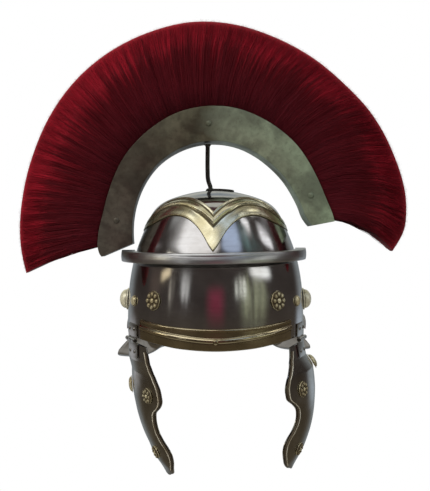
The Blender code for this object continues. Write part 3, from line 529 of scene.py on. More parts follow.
def makeBand():
    # Across the band: a fine line under the upper edge, a round bead, and a flat skirt down to the rim
    degrees = np.linspace(-band["end"], band["end"], band["columns"])[:, None]
    upper, bead = columns(band["rows"], np.abs(degrees))
    rim = steady(bowl["rim"], np.abs(degrees)) + 0.3
    knots = np.concatenate([upper, bead - band["above"], bead, bead + band["below"], rim], axis=1)
    at = [np.linspace(i, i + 1, n, endpoint=False) for i, n in enumerate(band["steps"])]
    at = np.append(np.concatenate(at), len(at))
    low = np.minimum(at.astype(int), len(band["steps"]) - 1)
    depth = knots[:, low] * (1 - at + low) + knots[:, low + 1] * (at - low)
    under, far = depth - upper, depth - bead
    t = under / (rim - upper)
    roll = np.where(far < 0, np.clip(1 - (far / band["above"]) ** 2, 0, 1),
                    np.sqrt(np.clip(1 - (far / band["below"]) ** 2, 0, 1)))
    edge = rise(t, 0, 0.03) * rise(1 - t, 0, 0.03)
    lift = (band["thick"] + band["line"] * hump(under, 1.6, 0.7) + band["bead"] * roll) * (0.25 + 0.75 * edge)
    grime = (1.2 * hump(far, 2.4, 0.9) + 0.7 * hump(far, -4.6, 0.7) + 0.7 * hump(t, 1, 0.1) + hump(t, 0, 0.03)
             + 0.6 * hump(under, 3.2, 0.8))
    body, dirt = strip(degrees, depth, fitGap, lift, 8, grime)
    angle, depth, radius, height = band["rivet"]
    head = domedHead(placeOn(onBowl, angle, depth, fitGap + band["thick"] + 1.3), radius, height)
    addPiece("rim_band", "shell", ["brow_band"], bandBrass, [body, head], 60,
             {"grime": np.append(dirt, np.zeros(len(head[0])))})


makeBand()


# Brow guard bar

bar = {"width": 109, "length": 122.5, "end": 85, "top": -71.2, "rise": 2.7, "height": 11.4, "thick": 2.2,
       "web": 1.7, "shift": 2.2, "stations": 201, "corner": 0.9, "tilt": 1.3, "lean": 3.2, "bulge": 0.8}


def makeBar():
    # An L of two flat sides carried round an oval: a web that meets the bowl and a face that hangs from it
    share = np.linspace(-1, 1, bar["stations"])
    east, north = np.sin(np.radians(share * bar["end"])), -np.cos(np.radians(share * bar["end"]))
    top = bar["top"] + bar["rise"] * share**2 + bar["tilt"] * east
    web, low = top - bar["web"], top - bar["height"]
    width = np.interp(np.sqrt(bowl["wall"] - web), profileRoot, profileWidth) + 0.35
    inner = np.stack([width, width * bowl["plan"]]) + fitGap + 0.1
    outer = np.stack([bar["width"] - bar["shift"] * east, 0 * east + bar["length"]])
    top = top + 1.5 * np.abs(share) ** 6
    loop = [(outer - bar["lean"] * (1 - t) * north**2 + bar["bulge"] * (math.sin(math.pi * t) - 1),
             top + (low - top) * t) for t in (0, 0.15, 0.35, 0.65, 0.85, 1)]
    loop += [(outer - bar["thick"], low), (outer - bar["thick"], web), (inner, web), (inner, top)]
    corners = np.stack([xyz(size[0] * east, size[1] * north, z) for size, z in loop], axis=1)
    addPiece("brow_bar", "shell", ["brow_guard"], barSteel,
             [carried(roundLoops(corners, bar["corner"]))])


makeBar()
print("brow pieces made")


# Crest

crest = {
    "centre": (0.7, 0, -42.5), "lean": 5, "turn": 3, "halfDepth": 16, "sheet": 1.3, "stations": 181,
    # radii of the box's edges by angle, lean and turn not counted
    "inner": [(-100, 99.8), (-86, 98.5), (-70, 98.3), (-51, 99.7), (-39, 101), (-21, 101.6), (0, 101.5),
              (21, 100.5), (34, 99.2), (46, 98.6), (59, 99.4), (71, 100.8), (83.5, 103.8), (97, 107.4)],
    "outer": [(0, 142.5), (15, 141.5), (27, 139), (38, 137), (48, 135.5), (60, 133), (70, 132.2),
              (80, 133.6), (87, 137), (98, 142)],
    "ends": ((-95.8, -99.4), (94.6, 91.8)),  # at radii of 100 and 140
    "heel": (2.2, 1.2), "corner": (1.6, 1.6), "reach": 44,  # how the ends' edges curl
    "rivets": ((-81, 117), (0.5, 122), (76, 117)), "rivetRadius": 3.6, "rivetHeight": 2.3,
}


def crestPoint(degrees, radius, y):
    # Polar place in the crest's plane, leant and turned, then set on the arch's centre
    a, turn = np.radians(degrees - crest["lean"]), math.radians(crest["turn"])
    x = radius * np.sin(a)
    x, y = x * math.cos(turn) - y * math.sin(turn), x * math.sin(turn) + y * math.cos(turn)
    return xyz(x, y, radius * np.cos(a)) + np.array(crest["centre"])


def boxAngle(share, radius, shorten=0.0):
    # Angle at a share of the way between the ends, whose own angles are given at radius 100 and 140
    left, right = [a + (b - a) * (radius - 100) / 40 for a, b in crest["ends"]]
    return (left + shorten) * (1 - share) + (right - shorten) * share


def curl(share, key):
    # A parabola that rises over the last stretch before the end where share is 0
    start, size = crest[key]
    return np.maximum(0, start - share * crest["reach"]) ** 2 * size


def boxRadii(share):
    # Inner and outer radius at a share of the way, with the right heel and the left corner curled in
    root, edge = [left * (1 - share) + right * share for left, right in zip(*crest["ends"])]
    inner, outer = cubic(crest["inner"], root), cubic(crest["outer"], np.abs(edge))
    return inner + curl(1 - share, "heel"), outer - curl(share, "corner")


def makeBox():
    # A U channel carried along the arch, two end plates and three rivet heads on each face
    share, depth, sheet = np.linspace(0, 1, crest["stations"]), crest["halfDepth"], crest["sheet"]
    inner, outer = boxRadii(share)
    loop = ((inner, -depth), (outer, -depth), (outer, sheet - depth), (inner + sheet, sheet - depth),
            (inner + sheet, depth - sheet), (outer, depth - sheet), (outer, depth), (inner, depth))
    corners = np.stack([crestPoint(boxAngle(share, r), r, y) for r, y in loop], axis=1)
    bodies = [carried(roundLoops(corners, 0.55))]
    for end in (0, 1):
        low, high = boxRadii(end)
        low, wide = low + 0.1, depth - 0.1
        loop = ((low, -wide), (high, -wide), (high, wide), (low, wide))
        plate = [[crestPoint(boxAngle(end, r, shorten), r, y) for r, y in loop] for shorten in (0.03, 0.7)]
        bodies.append(carried(roundLoops(np.array(plate), 0.5)))
    for side in (-1, 1):
        def face(u, v, out, side=side):
            return crestPoint(u, v, side * (depth - 0.2 + out))
        bodies += [domedHead(placeOn(face, *rivet), crest["rivetRadius"], crest["rivetHeight"])
                   for rivet in crest["rivets"]]
    points = np.concatenate([body[0] for body in bodies]) - np.array(crest["centre"])
    # Share along the arch, which the tone table turns into bands of painted reflection
    arc = np.degrees(np.arctan2(points[:, 0], points[:, 2])) / 190 + 0.5
    addPiece("crest_channel", "crest", ["crest_box"], boxSteel, bodies, fields={"arc": arc})


stem = {
    "path": [(-6.1, 3.3), (-6.3, 6.5), (-7.3, 9.5), (-8.6, 13.5), (-9.3, 18), (-9.5, 24), (-9.4, 57.2)],
    "radius": 2.6,
    "collar": [(2.2, -4), (2.6, -3), (3.8, -1.1), (4.2, -0.1)],  # radius and height from the rod's top
}


def makeStem():
    # A round rod carried along a bent path in the X-Z plane, with a flared collar under the box
    path = np.array(stem["path"], float)
    run = np.append(0, np.cumsum(np.hypot(*np.diff(path, axis=0).T)))
    at = np.linspace(0, run[-1], 80)
    x, z = columns(np.column_stack([run, path]), at)
    tangent = unit(xyz(np.gradient(x, at), 0, np.gradient(z, at)))[:, None]
    angle, back = circle(20)[:, None], np.array([0, 1.0, 0])
    around = np.cos(angle) * back + np.sin(angle) * np.cross(tangent, back)
    place = xyz(path[-1, 0], 0, path[-1, 1]), np.array([0, 0, 1.0]), np.array([1.0, 0, 0])
    addPiece("crest_rod", "crest", ["crest_stem"], darkIron,
             [carried(xyz(x, 0, z)[:, None] + stem["radius"] * around), turned(stem["collar"], place, 24)])


holder = {
    "centre": 5.2, "halfLength": 16.8, "halfWidth": 18, "socket": -6.1, "bend": 24, "square": 0.6,
    # size of the plan's loops and their height over the crown, and the collar's radius and height
    "loops": [(0.02, 1.1), (0.3, 1.1), (0.6, 1), (0.8, 0.9), (0.9, 1.8), (0.96, 1.8), (1, 1.2), (1, 0),
              (0.5, 0), (0.02, 0)],
    "collar": [(4.8, 2.2), (4.5, 4), (3.9, 4.5), (2.75, 4.5), (2.75, 2.3)],
}


def makeHolder():
    # A low plate whose plan is a rounded box, bent to the crown, and an open collar for the stem
    share, top = np.array(holder["loops"]).T[..., None]
    plan = np.cos(circle(72)), np.sin(circle(72))
    x, y = [share * np.sign(v) * np.abs(v) ** holder["square"] for v in plan]
    x, y = holder["centre"] + holder["halfLength"] * x, holder["halfWidth"] * y
    depth = 2 * (np.hypot(x, y / bowl["plan"]) / holder["bend"]) ** 2
    rings = xyz(x, y, bowl["wall"] - depth + fitGap + top)
    place = xyz(holder["socket"], 0, 0), np.array([0, 0, 1.0]), np.array([1.0, 0, 0])
    addPiece("crown_plate", "shell", ["crest_holder"], darkIron,
             [carried(rings), turned(holder["collar"], place, 32, wrap=True)])


makeBox()
makeStem()
makeHolder()
print("crest metal made")


# Wall fittings

signs = {"left": -1, "right": 1}
ear = {"path": [(87.5, 160.5), (90, 156.5), (93, 152), (97, 147.6), (101, 145.6), (106, 145.6), (110, 148),
                (113.5, 153), (116, 160), (118, 168)],
       "reach": {"left": 2.8, "right": 5.8}, "stations": 70, "sheet": 1.3}
# name, angle, depth or height, radius, height over the surface, petals
reliefs = [("temple_rosette", 40, 123.5, 10.4, 3.4, 8), ("temple_stud", 61, 126, 6.2, 3.6, 0),
           ("side_boss", 88, 127.8, 12.9, 10.2, 0)]
cheekReliefs = {
    "left": [("cheek_rosette", 52, -224, 8.6, 3.2, 8), ("cheek_boss", 84, -223, 10, 4.2, 0),
             ("cheek_stud", 61, -288, 7.4, 3.4, 8)],
    "right": [("cheek_rosette", 52, -221, 8.6, 3.2, 8), ("cheek_boss", 86, -201, 9.6, 5, 0),
              ("cheek_stud", 56, -289, 7.4, 3, 8)]}


def makeRelief(side, bodyName, surface, row, sign=1, move=None):
    # A rosette where the row counts petals, or else a turned boss
    name, degrees, level, radius, height, petals = row
    point, normal, along = placeOn(surface, sign * degrees, level)
    place = (point + normal * fitGap, normal, along)
    body, grime = flower(place, radius, height, petals) if petals else steppedBoss(place, radius, height)
    if move:
        body = (move(body[0]), *body[1:])
    brass = domeBrass if name == "side_boss" else bossBrass
    addPiece(f"{name}_{side}_relief", bodyName, [f"{name}_{side}"], brass, [body], 60,
             {"grime": grime})


def makeEar(side):
    # A thin strip carried along the cut-out's edge, tilted outwards and widest in the middle
    share, sheet = np.linspace(0, 1, ear["stations"]), ear["sheet"]
    degrees, depth = columns(np.column_stack([np.linspace(0, 1, len(ear["path"])), ear["path"]]), share)
    size = np.sin(np.pi * (0.06 + 0.88 * share))
    out, fall = ear["reach"][side] * (0.4 + 0.6 * size), 1.5 + 1.5 * size
    corners = [onBowl(degrees * signs[side], depth + down, fitGap + reach)
               for down, reach in ((0, 0), (sheet, 0), (sheet + fall, out), (fall, out))]
    addPiece(f"ear_flange_{side}", "shell", [f"ear_guard_{side}"], barSteel,
             [carried(roundLoops(np.stack(corners, axis=1), 0.5))])


# Cheek guards

rearTop = [(-170, 88), (-182, 88.6), (-196, 89.6), (-207, 90.4), (-222, 90.8), (-236, 89), (-248, 86.2),
           (-256, 84)]
cheek = {
    # height, half width and half length of the plan
    "rows": [(-170, 102.4, 118), (-182, 103.6, 118), (-196, 105, 118), (-207, 106, 118), (-214, 106.4, 118),
             (-222, 106.5, 118), (-229, 106.3, 117.8), (-236, 105.7, 117.4), (-242, 105, 117),
             (-248, 104.2, 116.6), (-256, 102.8, 116), (-266, 100.4, 115), (-276, 97.2, 114),
             (-285, 93.4, 113), (-293, 89, 112), (-300, 84.4, 111), (-306, 80, 110), (-310.5, 76.4, 109)],
    # angles of the front and rear edges at each height, by side
    "front": {
        "left": [(-170, 49.8), (-182, 47.6), (-192, 46.2), (-200, 45), (-207, 42.9), (-214, 40.7),
                 (-222, 39.7), (-228, 39.7), (-234, 41.8), (-240, 46), (-246, 47.2), (-252, 47.6),
                 (-258, 47.4), (-264, 46.6), (-270, 45), (-276, 42.9), (-282, 41.6), (-288, 41.6),
                 (-294, 42.6), (-300, 45), (-304, 47), (-308, 50.5), (-310.5, 55)],
        "right": [(-170, 49.8), (-180, 48.6), (-190, 46.4), (-198, 42.7), (-204, 39.8), (-210, 38.1),
                  (-216, 37.1), (-222, 37.2), (-228, 38.1), (-234, 42), (-240, 45), (-246, 45.8),
                  (-252, 45.6), (-258, 44.3), (-264, 42.2), (-270, 39.3), (-276, 37.6), (-282, 37.4),
                  (-288, 38.4), (-294, 40.2), (-300, 42.9), (-304, 46.2), (-308, 51.2), (-310.5, 56.5)],
    },
    "rear": {
        "left": [*rearTop, (-266, 80.8), (-276, 77.8), (-285, 76), (-293, 75.6), (-300, 76), (-305, 75.6),
                 (-308.5, 74), (-310.5, 71)],
        "right": [*rearTop, (-266, 80.6), (-276, 77.4), (-285, 75), (-293, 73.2), (-300, 71.6), (-305, 70),
                  (-308.5, 67.6), (-310.5, 64)],
    },
    "top": -170, "low": -310.5, "sheet": 1.3, "edge": 0.5, "trim": (-178, -301, 130), "wire": 1.9,
    "swing": {"left": 5, "right": -4.5}, "jog": {"left": -3.9, "right": 6.1},
    "around": {"left": -2.5, "right": 1.5}, "length": {"left": 1.05, "right": 0.972},
    "round": {"left": 3.6, "right": 2.4}, "flare": {"left": 3.4, "right": 1.4},
}
hinge = {"angle": 66, "height": -167.4, "plan": (102.8, 118.4), "width": 31, "out": 1.6, "knuckle": 2.4,
         "bore": 1.25, "pin": 0.85, "leafTop": -150, "leafBottom": -187, "leafSheet": 1.1, "round": 0.35,
         "heads": (-155.5, -180.5), "headRadius": 2.4, "headHeight": 1.6}
cheekRows = cheek["rows"][::-1]


def cheekSurface(side):
    # Oval plan whose size follows the height, drawn straight down before the swing
    def at(degrees, height, out=0.0):
        height, top = np.asarray(height), cheek["top"]
        half, length = columns(cheekRows, height)
        above, below = [columns(cheekRows, height + step)[0] for step in (1, -1)]
        jog = cheek["jog"][side] * np.clip((-189 - height) / 14, 0, 1)
        half = half + jog + cheek["flare"][side] * rise(-height, 282, 303)
        angle = np.radians(degrees + cheek["around"][side])
        flat = unit(xyz(np.sin(angle) / half, -np.cos(angle) / length))
        normal = unit(xyz(flat[..., 0], flat[..., 1], (below - above) / 2))
        down = (height - top) * cheek["length"][side]
        place = xyz(half * np.sin(angle), -length * np.cos(angle), top + down)
        return (place + normal * np.asarray(out)[..., None]) * np.array([signs[side], 1, 1])
    return at


def hingeFrame(side):
    # Centre of the pin, its direction and the outward direction
    angle = math.radians(hinge["angle"] + cheek["around"][side])
    half, length = hinge["plan"]
    out = unit(np.array([math.sin(angle) / half, -math.cos(angle) / length, 0]))
    foot = np.array([half * math.sin(angle), -length * math.cos(angle), hinge["height"]])
    centre, along = foot + out * (fitGap + hinge["out"]), np.array([-out[1], out[0], 0])
    return [v * np.array([signs[side], 1, 1]) for v in (centre, along, out)]


def swingOf(side):
    # Turns points about the pin by the guard's rest angle
    centre, pin, _ = hingeFrame(side)
    angle = math.radians(cheek["swing"][side]) * signs[side]

    def turn(points):
        arm = points - centre
        across = (arm @ pin)[..., None] * pin
        return centre + across + (arm - across) * math.cos(angle) + np.cross(pin, arm) * math.sin(angle)
    return turn


def makeGuard(side):
    # One loop round the plate's section at each height, front edge to rear edge and back inside
    surface, top = cheekSurface(side), cheek["top"]
    height = np.concatenate([np.linspace(top, -300, 120), np.linspace(-301, cheek["low"], 16)])[:, None]
    front, rear = [cubic(cheek[key][side][::-1], height) for key in ("front", "rear")]
    share = np.linspace(0, 1, 34)
    lower = 3.4 * (1 - share) * np.maximum(0, 1 - (top - height) / 25)
    tip = cheek["round"][side] * (1 - np.abs(2 * share - 1) ** 2.4)
    tip = tip * np.maximum(0, (-303 - height) / 7.5) ** 2
    outer, inner = [surface(front + (rear - front) * share, height, out) - xyz(0, 0, lower + tip)
                    for out in (0, -cheek["sheet"])]

    def edge(last, beside):
        # Two points that round an edge, the outer one first
        away = unit(outer[:, [last]] - outer[:, [beside]]) * cheek["edge"]
        return [outer[:, [last]] * t + inner[:, [last]] * (1 - t) + away for t in (0.75, 0.25)]

    rings = np.concatenate([outer, *edge(-1, -2), inner[:, ::-1], *edge(0, 1)[::-1]], axis=1)
    addPiece(f"cheek_plate_{side}", f"{side}_cheek", [f"cheek_guard_{side}"], guardSteel,
             [carried(swingOf(side)(rings))])


def makeTrim(side):
    # A half-round wire carried down the front edge, with painted shade on its flanks and a painted highlight
    # along its crest
    height = np.linspace(*cheek["trim"])[:, None]
    front = cubic(cheek["front"][side][::-1], height)
    t = np.linspace(0, np.pi, 17)
    shift = np.append(1.6 - 1.15 * np.cos(t), [2.1, 1.1])
    out = np.append(cheek["wire"] * np.sin(t), [0, 0])
    rings = cheekSurface(side)(front + shift, height, fitGap + 0.15 + out)
    # Painted shade on the wire's flanks that leaves a painted highlight line along its crest
    dark = np.append(0.15 + 0.85 * rise(np.abs(np.cos(t)), 0.2, 0.5), [1, 1])
    addPiece(f"cheek_edging_{side}", f"{side}_cheek", [f"cheek_trim_{side}"], edgeBrass,
             [carried(swingOf(side)(rings))], 60, {"grime": np.append(np.tile(dark, len(height)), [1, 1])})


def makeHinge(side):
    # Two leaves with knuckles and rivet heads, and a headed pin through them
    centre, along, out = axis = hingeFrame(side)
    level, half, third = hinge["height"], hinge["width"] / 2, hinge["width"] / 3
    radius, bore, pin, gap = hinge["knuckle"], hinge["bore"], hinge["pin"], fitGap + 0.1

    def onWall(spot, height):
        degrees = np.degrees(np.arctan2(spot[:, 0], -spot[:, 1] / bowl["plan"]))
        return onBowl(degrees, bowl["wall"] - height, fitGap)

    def onGuard(spot, height):
        size = columns(cheekRows, min(height, cheek["top"]))
        degrees = np.degrees(np.arctan2(np.abs(spot[:, 0]) / size[0], -spot[:, 1] / size[1]))
        place = cheekSurface(side)(degrees - cheek["around"][side], min(height, cheek["top"]), fitGap)
        return xyz(place[:, 0], place[:, 1], height)

    def leaf(surface, low, high, bottom, top):
        # Corners of a leaf's section at each station along the pin
        spot = centre + np.linspace(low, high, 13)[:, None] * along
        back = [surface(spot, bottom), surface(spot, top)]
        return np.stack([*back, *(place + out * hinge["leafSheet"] for place in back[::-1])], axis=1)

    def halfOf(surface, span, root, head, knuckles):
        # A leaf with two rivet heads, and knuckles that each hang on a short root
        plate = leaf(surface, -half, half, *span)
        bodies = [carried(roundLoops(plate, hinge["round"]))]
        for x, y, _ in plate[[3, 9], 2:].mean(axis=1):
            spot = np.array([x, y, head]) - out * 0.3
            bodies.append(domedHead((spot, out, along), hinge["headRadius"], hinge["headHeight"], 20))
        for low, high in knuckles:
            section = np.array([(radius, low), (radius, high), (bore, high), (bore, low)])
            plate = leaf(surface, low + 0.2, high - 0.2, *root)
            bodies.append(turned(roundLoops(section, hinge["round"]), axis, 24, wrap=True))
            bodies.append(carried(roundLoops(plate, hinge["round"])))
        return bodies

    upper = halfOf(onWall, (level + radius + 0.5, hinge["leafTop"]), (level + 1.7, level + radius + 1.6),
                   hinge["heads"][0], [(-half, third - half - gap), (half - third + gap, half)])
    addPiece(f"hinge_leaf_{side}", "shell", [f"hinge_upper_{side}"], guardSteel, upper)
    lower = halfOf(onGuard, (hinge["leafBottom"], level - radius - 0.5), (level - radius - 1.6, level - 1.7),
                   hinge["heads"][1], [(third - half, half - third)])
    move, end = swingOf(side), half + fitGap
    addPiece(f"hinge_flap_{side}", f"{side}_cheek", [f"hinge_lower_{side}"], guardSteel,
             [(move(points), *faces) for points, *faces in lower])
    rows = [(0.9, -end - 1.2), (1.6, -end - 1.1), (1.7, -end - 0.6), (1.6, -end), (pin, -end)]
    rows += [(r, -a) for r, a in rows[::-1]]
    addPiece(f"hinge_rod_{side}", "shell", [f"hinge_pin_{side}"], darkIron,
             [turned(rows, axis, 16)])


for side in ("left", "right"):
    for row in reliefs:
        makeRelief(side, "shell", onBowl, row, signs[side])
    makeEar(side)
    makeGuard(side)
    makeTrim(side)
    makeHinge(side)
    for row in cheekReliefs[side]:
        makeRelief(side, f"{side}_cheek", cheekSurface(side), row, move=swingOf(side))
print("side pieces made")


# Hair

hair = {
    "ends": ((-94.3, -94.2, -98.4), (93.1, 90.1, 102.4)),  # at the root, the box's edge and the tips
    "tips": [(-98, 228.5), (-91, 229.5), (-73, 229.5), (-61.6, 231.3), (-50, 235.2), (-38, 239.2),
             (-26, 242), (-14, 243.8), (-2, 245.2), (4, 244.2), (10, 242.4), (22, 237.4), (34.5, 233.6),
             (46.6, 230.8), (58.8, 231.5), (71, 231), (89, 230), (95, 226.5), (103, 212.5)],
    # half thickness of the fan along its hairs
    "swell": [(0, 13.8), (0.08, 14.4), (0.3, 15.8), (0.55, 15.9), (0.75, 14.9), (0.9, 12.9), (1, 10.6)],
    "strands": 8200, "width": 0.55, "tufts": 230, "clump": 0.35, "wander": 0.7, "full": 0.8, "stray": 0.04,
    "fan": 1.4, "coreDepth": 13.6, "bladeSizes": (0.62, 0.6, 0.5), "seed": 11,
    "rootColour": (0.05, 0.004, 0.007), "middleColour": (0.06, 0.0035, 0.006),
    # The bright tip colour is a painted glow of light shining through the thin ends
    "tipColour": (0.27, 0.009, 0.019),
}


def hairMaterial(name, core):
    # Colour runs from the roots to the tips and changes from tuft to tuft and hair to hair
    made = bpy.data.materials.new(name)
    paint = newPaint(made)
    along, tone, place = paint.field("along"), paint.field("tone"), paint.place()
    level = along * 0.95 + (tone - 0.5) * 0.42 + (paint.noise(place, 16, 2, 0.5) - 0.5) * 0.5
    looks = {"Roughness": 0.42 + tone * 0.2, "Specular IOR Level": 0.12}
    if core:
        x, y, z = paint.split(place)
        turn = paint.math("ARCTAN2", x - crest["centre"][0] * mm, z - crest["centre"][2] * mm)
        threads = paint.noise(paint.combine(turn * 260, along * 1.5, y * 700), 1, 3, 0.6)
        level = level + (threads - 0.55) * 1.1
        looks["Normal"] = paint.term("Bump", None, {"Height": threads, "Strength": 0.9, "Distance": mm})
    # The much brighter tips are a painted glow of light through the thin ends
    stops = [(0, hair["rootColour"]), (0.6, hair["middleColour"]), (1, hair["tipColour"])]
    looks["Base Color"] = paint.term("ValToRGB", {"stops": stops}, {"Fac": level})
    paint.finish(paint.term("BsdfPrincipled", None, looks))
    return made


def hairSection(share):
    # Places of one lock between its root, the box's edge and its tip, for arrays of share along the arch
    root, edge, tip = [a * (1 - share) + b * share for a, b in zip(*hair["ends"])]
    low = cubic(crest["inner"], root) + 1.3 * curl(1 - share, "heel") + crest["sheet"] + 2 * fitGap
    return (root, low), (edge, cubic(crest["outer"], np.abs(edge)) + 1.5), (tip, cubic(hair["tips"], tip))


def makeHairCore():
    # Closed fan a little inside the strands, its loop the section of one lock
    share, depth = np.linspace(0, 1, 361), hair["coreDepth"]
    (root, low), (edge, middle), (tip, high) = hairSection(share)
    high = high - 0.2
    stations = [(root, low, -depth, 0), (edge, middle - 4, -depth, 0.02)]
    for at in (0.12, 0.25, 0.4, 0.55, 0.7, 0.8, 0.88, 0.95, 0.985, 1):
        thick = cubic(hair["swell"], at) - 2 - 80 * max(0, at - 0.95)
        stations.append((edge + (tip - edge) * at ** hair["fan"], middle + (high - middle) * at, -thick, at))
    stations += [(a, r, -y, at) for a, r, y, at in reversed(stations)]
    rings = np.stack([crestPoint(a, r, y) for a, r, y, _ in stations], axis=1)
    along = np.tile([station[3] for station in stations], len(share))
    addPiece("hair_core", "crest", ["crest_hair"], hairMaterial("hair body", True),
             [carried(rings, rungs=True)], 60, {"along": along, "tone": np.full(len(along), 0.4)})


def makeStrands(name, layer, rng, material):
    # Each hair is a three-sided blade through four stations that narrows to a point
    count, tufts = hair["strands"], hair["tufts"]
    share = rng.uniform(0.002, 0.998, count)
    tuft = (share * tufts).astype(int)
    tuftTone, tuftReach, _ = rng.random((3, tufts + 1))
    gather = ((tuft + 0.5) / tufts - share) * hair["clump"]
    tipShare = np.clip(share + gather + rng.normal(0, 0.0022, count), 0, 1)
    _, (edge, middle), _ = hairSection(share)
    _, _, (tip, high) = hairSection(tipShare)
    tone = np.clip(0.5 + (tuftTone[tuft] - 0.5) * 0.6 + rng.normal(0, 0.2, count), 0, 1)
    depth = layer * (1.02 - 0.15 * rng.random(count) ** 1.5) if layer else rng.uniform(-0.95, 0.95, count)
    stop = np.where(rng.random(count) < hair["full"], 1, rng.uniform(0.55, 0.97, count))
    stray = rng.random(count) < hair["stray"]
    reach = high + 2.4 - 1.8 * rng.random(count) ** 2 - 1.2 * tuftReach[tuft]
    reach += np.where(stray, rng.uniform(0, 1.2, count), -np.abs(depth) ** 4 * 1.2)
    bend = rng.normal(0, hair["wander"], (2, count))
    wide = hair["width"] * rng.uniform(0.7, 1.35, count)
    turn = rng.uniform(0, 2 * np.pi, count) + circle(3)[:, None]

    t = np.array([0, 0.34, 0.68, 1])[:, None]
    at, wave = t * stop, np.sin(np.pi * t)
    radius = middle - 7 + (reach - middle + 7) * at
    angle = edge + (tip - edge) * at ** hair["fan"] + np.degrees(bend[0] * wave / radius)
    y = depth * cubic(hair["swell"], at) + bend[1] * wave * 0.4
    along = np.clip((radius - middle) / (high - middle), 0, 1)

    size = wide * np.array(hair["bladeSizes"])[:, None, None]
    a, r, side = angle[:3, None], radius[:3, None], y[:3, None]
    blades = crestPoint(a + np.degrees(np.cos(turn) * size / r), r, side + np.sin(turn) * size)
    points = np.concatenate([blades.reshape(9, count, 3), [crestPoint(angle[3], radius[3], y[3])]])
    k = np.arange(6)
    after = k - k % 3 + (k + 1) % 3
    sides, caps = np.stack([k, after, after + 3, k + 3], axis=1), [(2, 1, 0), (6, 7, 9), (7, 8, 9), (8, 6, 9)]
    start = (np.arange(count) * 10)[:, None, None]
    body = points.swapaxes(0, 1).reshape(-1, 3), (start + sides).reshape(-1, 4), (start + caps).reshape(-1, 3)
    fields = {"along": np.repeat(along, (3, 3, 3, 1), axis=0).T, "tone": np.repeat(tone, 10)}
    addPiece(name, "crest", [], material, [body], 0, fields, sort=False)


makeHairCore()
rng = np.random.default_rng(hair["seed"])
strandMaterial = hairMaterial("hair strands", False)
for name, layer in (("hair_front", -1), ("hair_back", 1), ("hair_middle", 0)):
    makeStrands(name, layer, rng, strandMaterial)
print("hair made")


# Floor, surroundings and lights

studio = {
    "floor": -0.42, "floorSize": 60,
    "ground": (0.1, 0.085, 0.062), "nearGround": (0.36, 0.36, 0.34), "dark": (0.055, 0.047, 0.044),
    "top": (0.62, 0.63, 0.58), "behindLow": (0.25, 0.28, 0.3), "behindHigh": (0.52, 0.54, 0.5),
    # azimuth from the front, elevation, half sizes, tilt (degrees), softness, streaks, colour
    "patches": [
        (-46, 44, 52, 15, 7, 0.8, 0, (1, 1, 0.98)), (-32, 44, 44, 13, 7, 0.35, 0, (1.5, 1.5, 1.48)),
        (30, 45, 22, 11, -8, 0.4, 0, (0.62, 0.76, 1.02)), (62, 38, 24, 8, -25, 0.6, 1, (0.2, 0.34, 0.34)),
        (96, 30.5, 13, 4.5, -34, 0.5, 0, (1.4, 1.42, 1.45)), (67, 46.5, 10, 4, -30, 0.5, 0, (1.5, 1.5, 1.5)),
        (132, 23, 42, 2.4, -25, 0.9, 0, (0.6, 0.6, 0.62)), (-130, 15, 40, 2, 20, 0.9, 0, (0.45, 0.43, 0.43)),
        (-76, 15, 11, 3.4, 20, 0.6, 0, (1.2, 1.02, 0.68)), (-64, 8, 5, 10, 0, 0.7, 1, (0.6, 0.56, 0.48)),
        (-44, 11, 8, 11, 0, 0.6, 1, (0.85, 0.86, 0.84)), (0, 4, 17, 13, 0, 0.9, 0, (0.24, 0.045, 0.075)),
        (55, 6, 26, 14, 0, 0.5, 1, (0.42, 0.45, 0.3)), (36, 11, 10, 8, 0, 0.5, 1, (1.2, 1.25, 1.12)),
        (68, 17, 20, 3.6, -10, 0.5, 0, (1.6, 1.65, 1.62)), (99, 47, 15, 6, -12, 0.4, 0, (1.4, 1.38, 1.25)),
        (-141, -10, 16, 6, 0, 0.6, 0, (0.52, 0.52, 0.54)), (143, -9, 16, 7, 0, 0.6, 0, (0.46, 0.52, 0.58)),
        (180, 29, 12, 9, 0, 0.9, 0, (0.26, 0.3, 0.33)), (-180, 29, 12, 9, 0, 0.9, 0, (0.26, 0.3, 0.33)),
        (-91, 41, 13, 6, 25, 0.8, 0, (0.42, 0.43, 0.42)), (-92, 8, 15, 11, 0, 0.9, 0, (0.13, 0.1, 0.085)),
        (-73, 24, 12, 4.5, 0, 0.6, 0, (3.6, 3.5, 3.0)), (-12, 77, 75, 10, 0, 0.5, 0, (0.08, 0.035, 0.04)),
    ],
    # name, place, target, size, power, colour
    "lamps": [
        ("key", (-0.7, -1.5, 1.3), (0, 0, 0), 0.9, 32, (1, 0.98, 0.96)),
        ("fill", (1.6, -1, 0.7), (0, 0, 0), 0.8, 14, (0.92, 0.96, 1)),
        ("side", (-1.7, -0.7, 0.35), (0, 0, 0), 0.5, 14, (1, 1, 0.97)),
        ("rim", (0.3, 1.6, 1.2), (0, 0, 0.1), 0.8, 22, (1, 1, 1)),
    ],
}


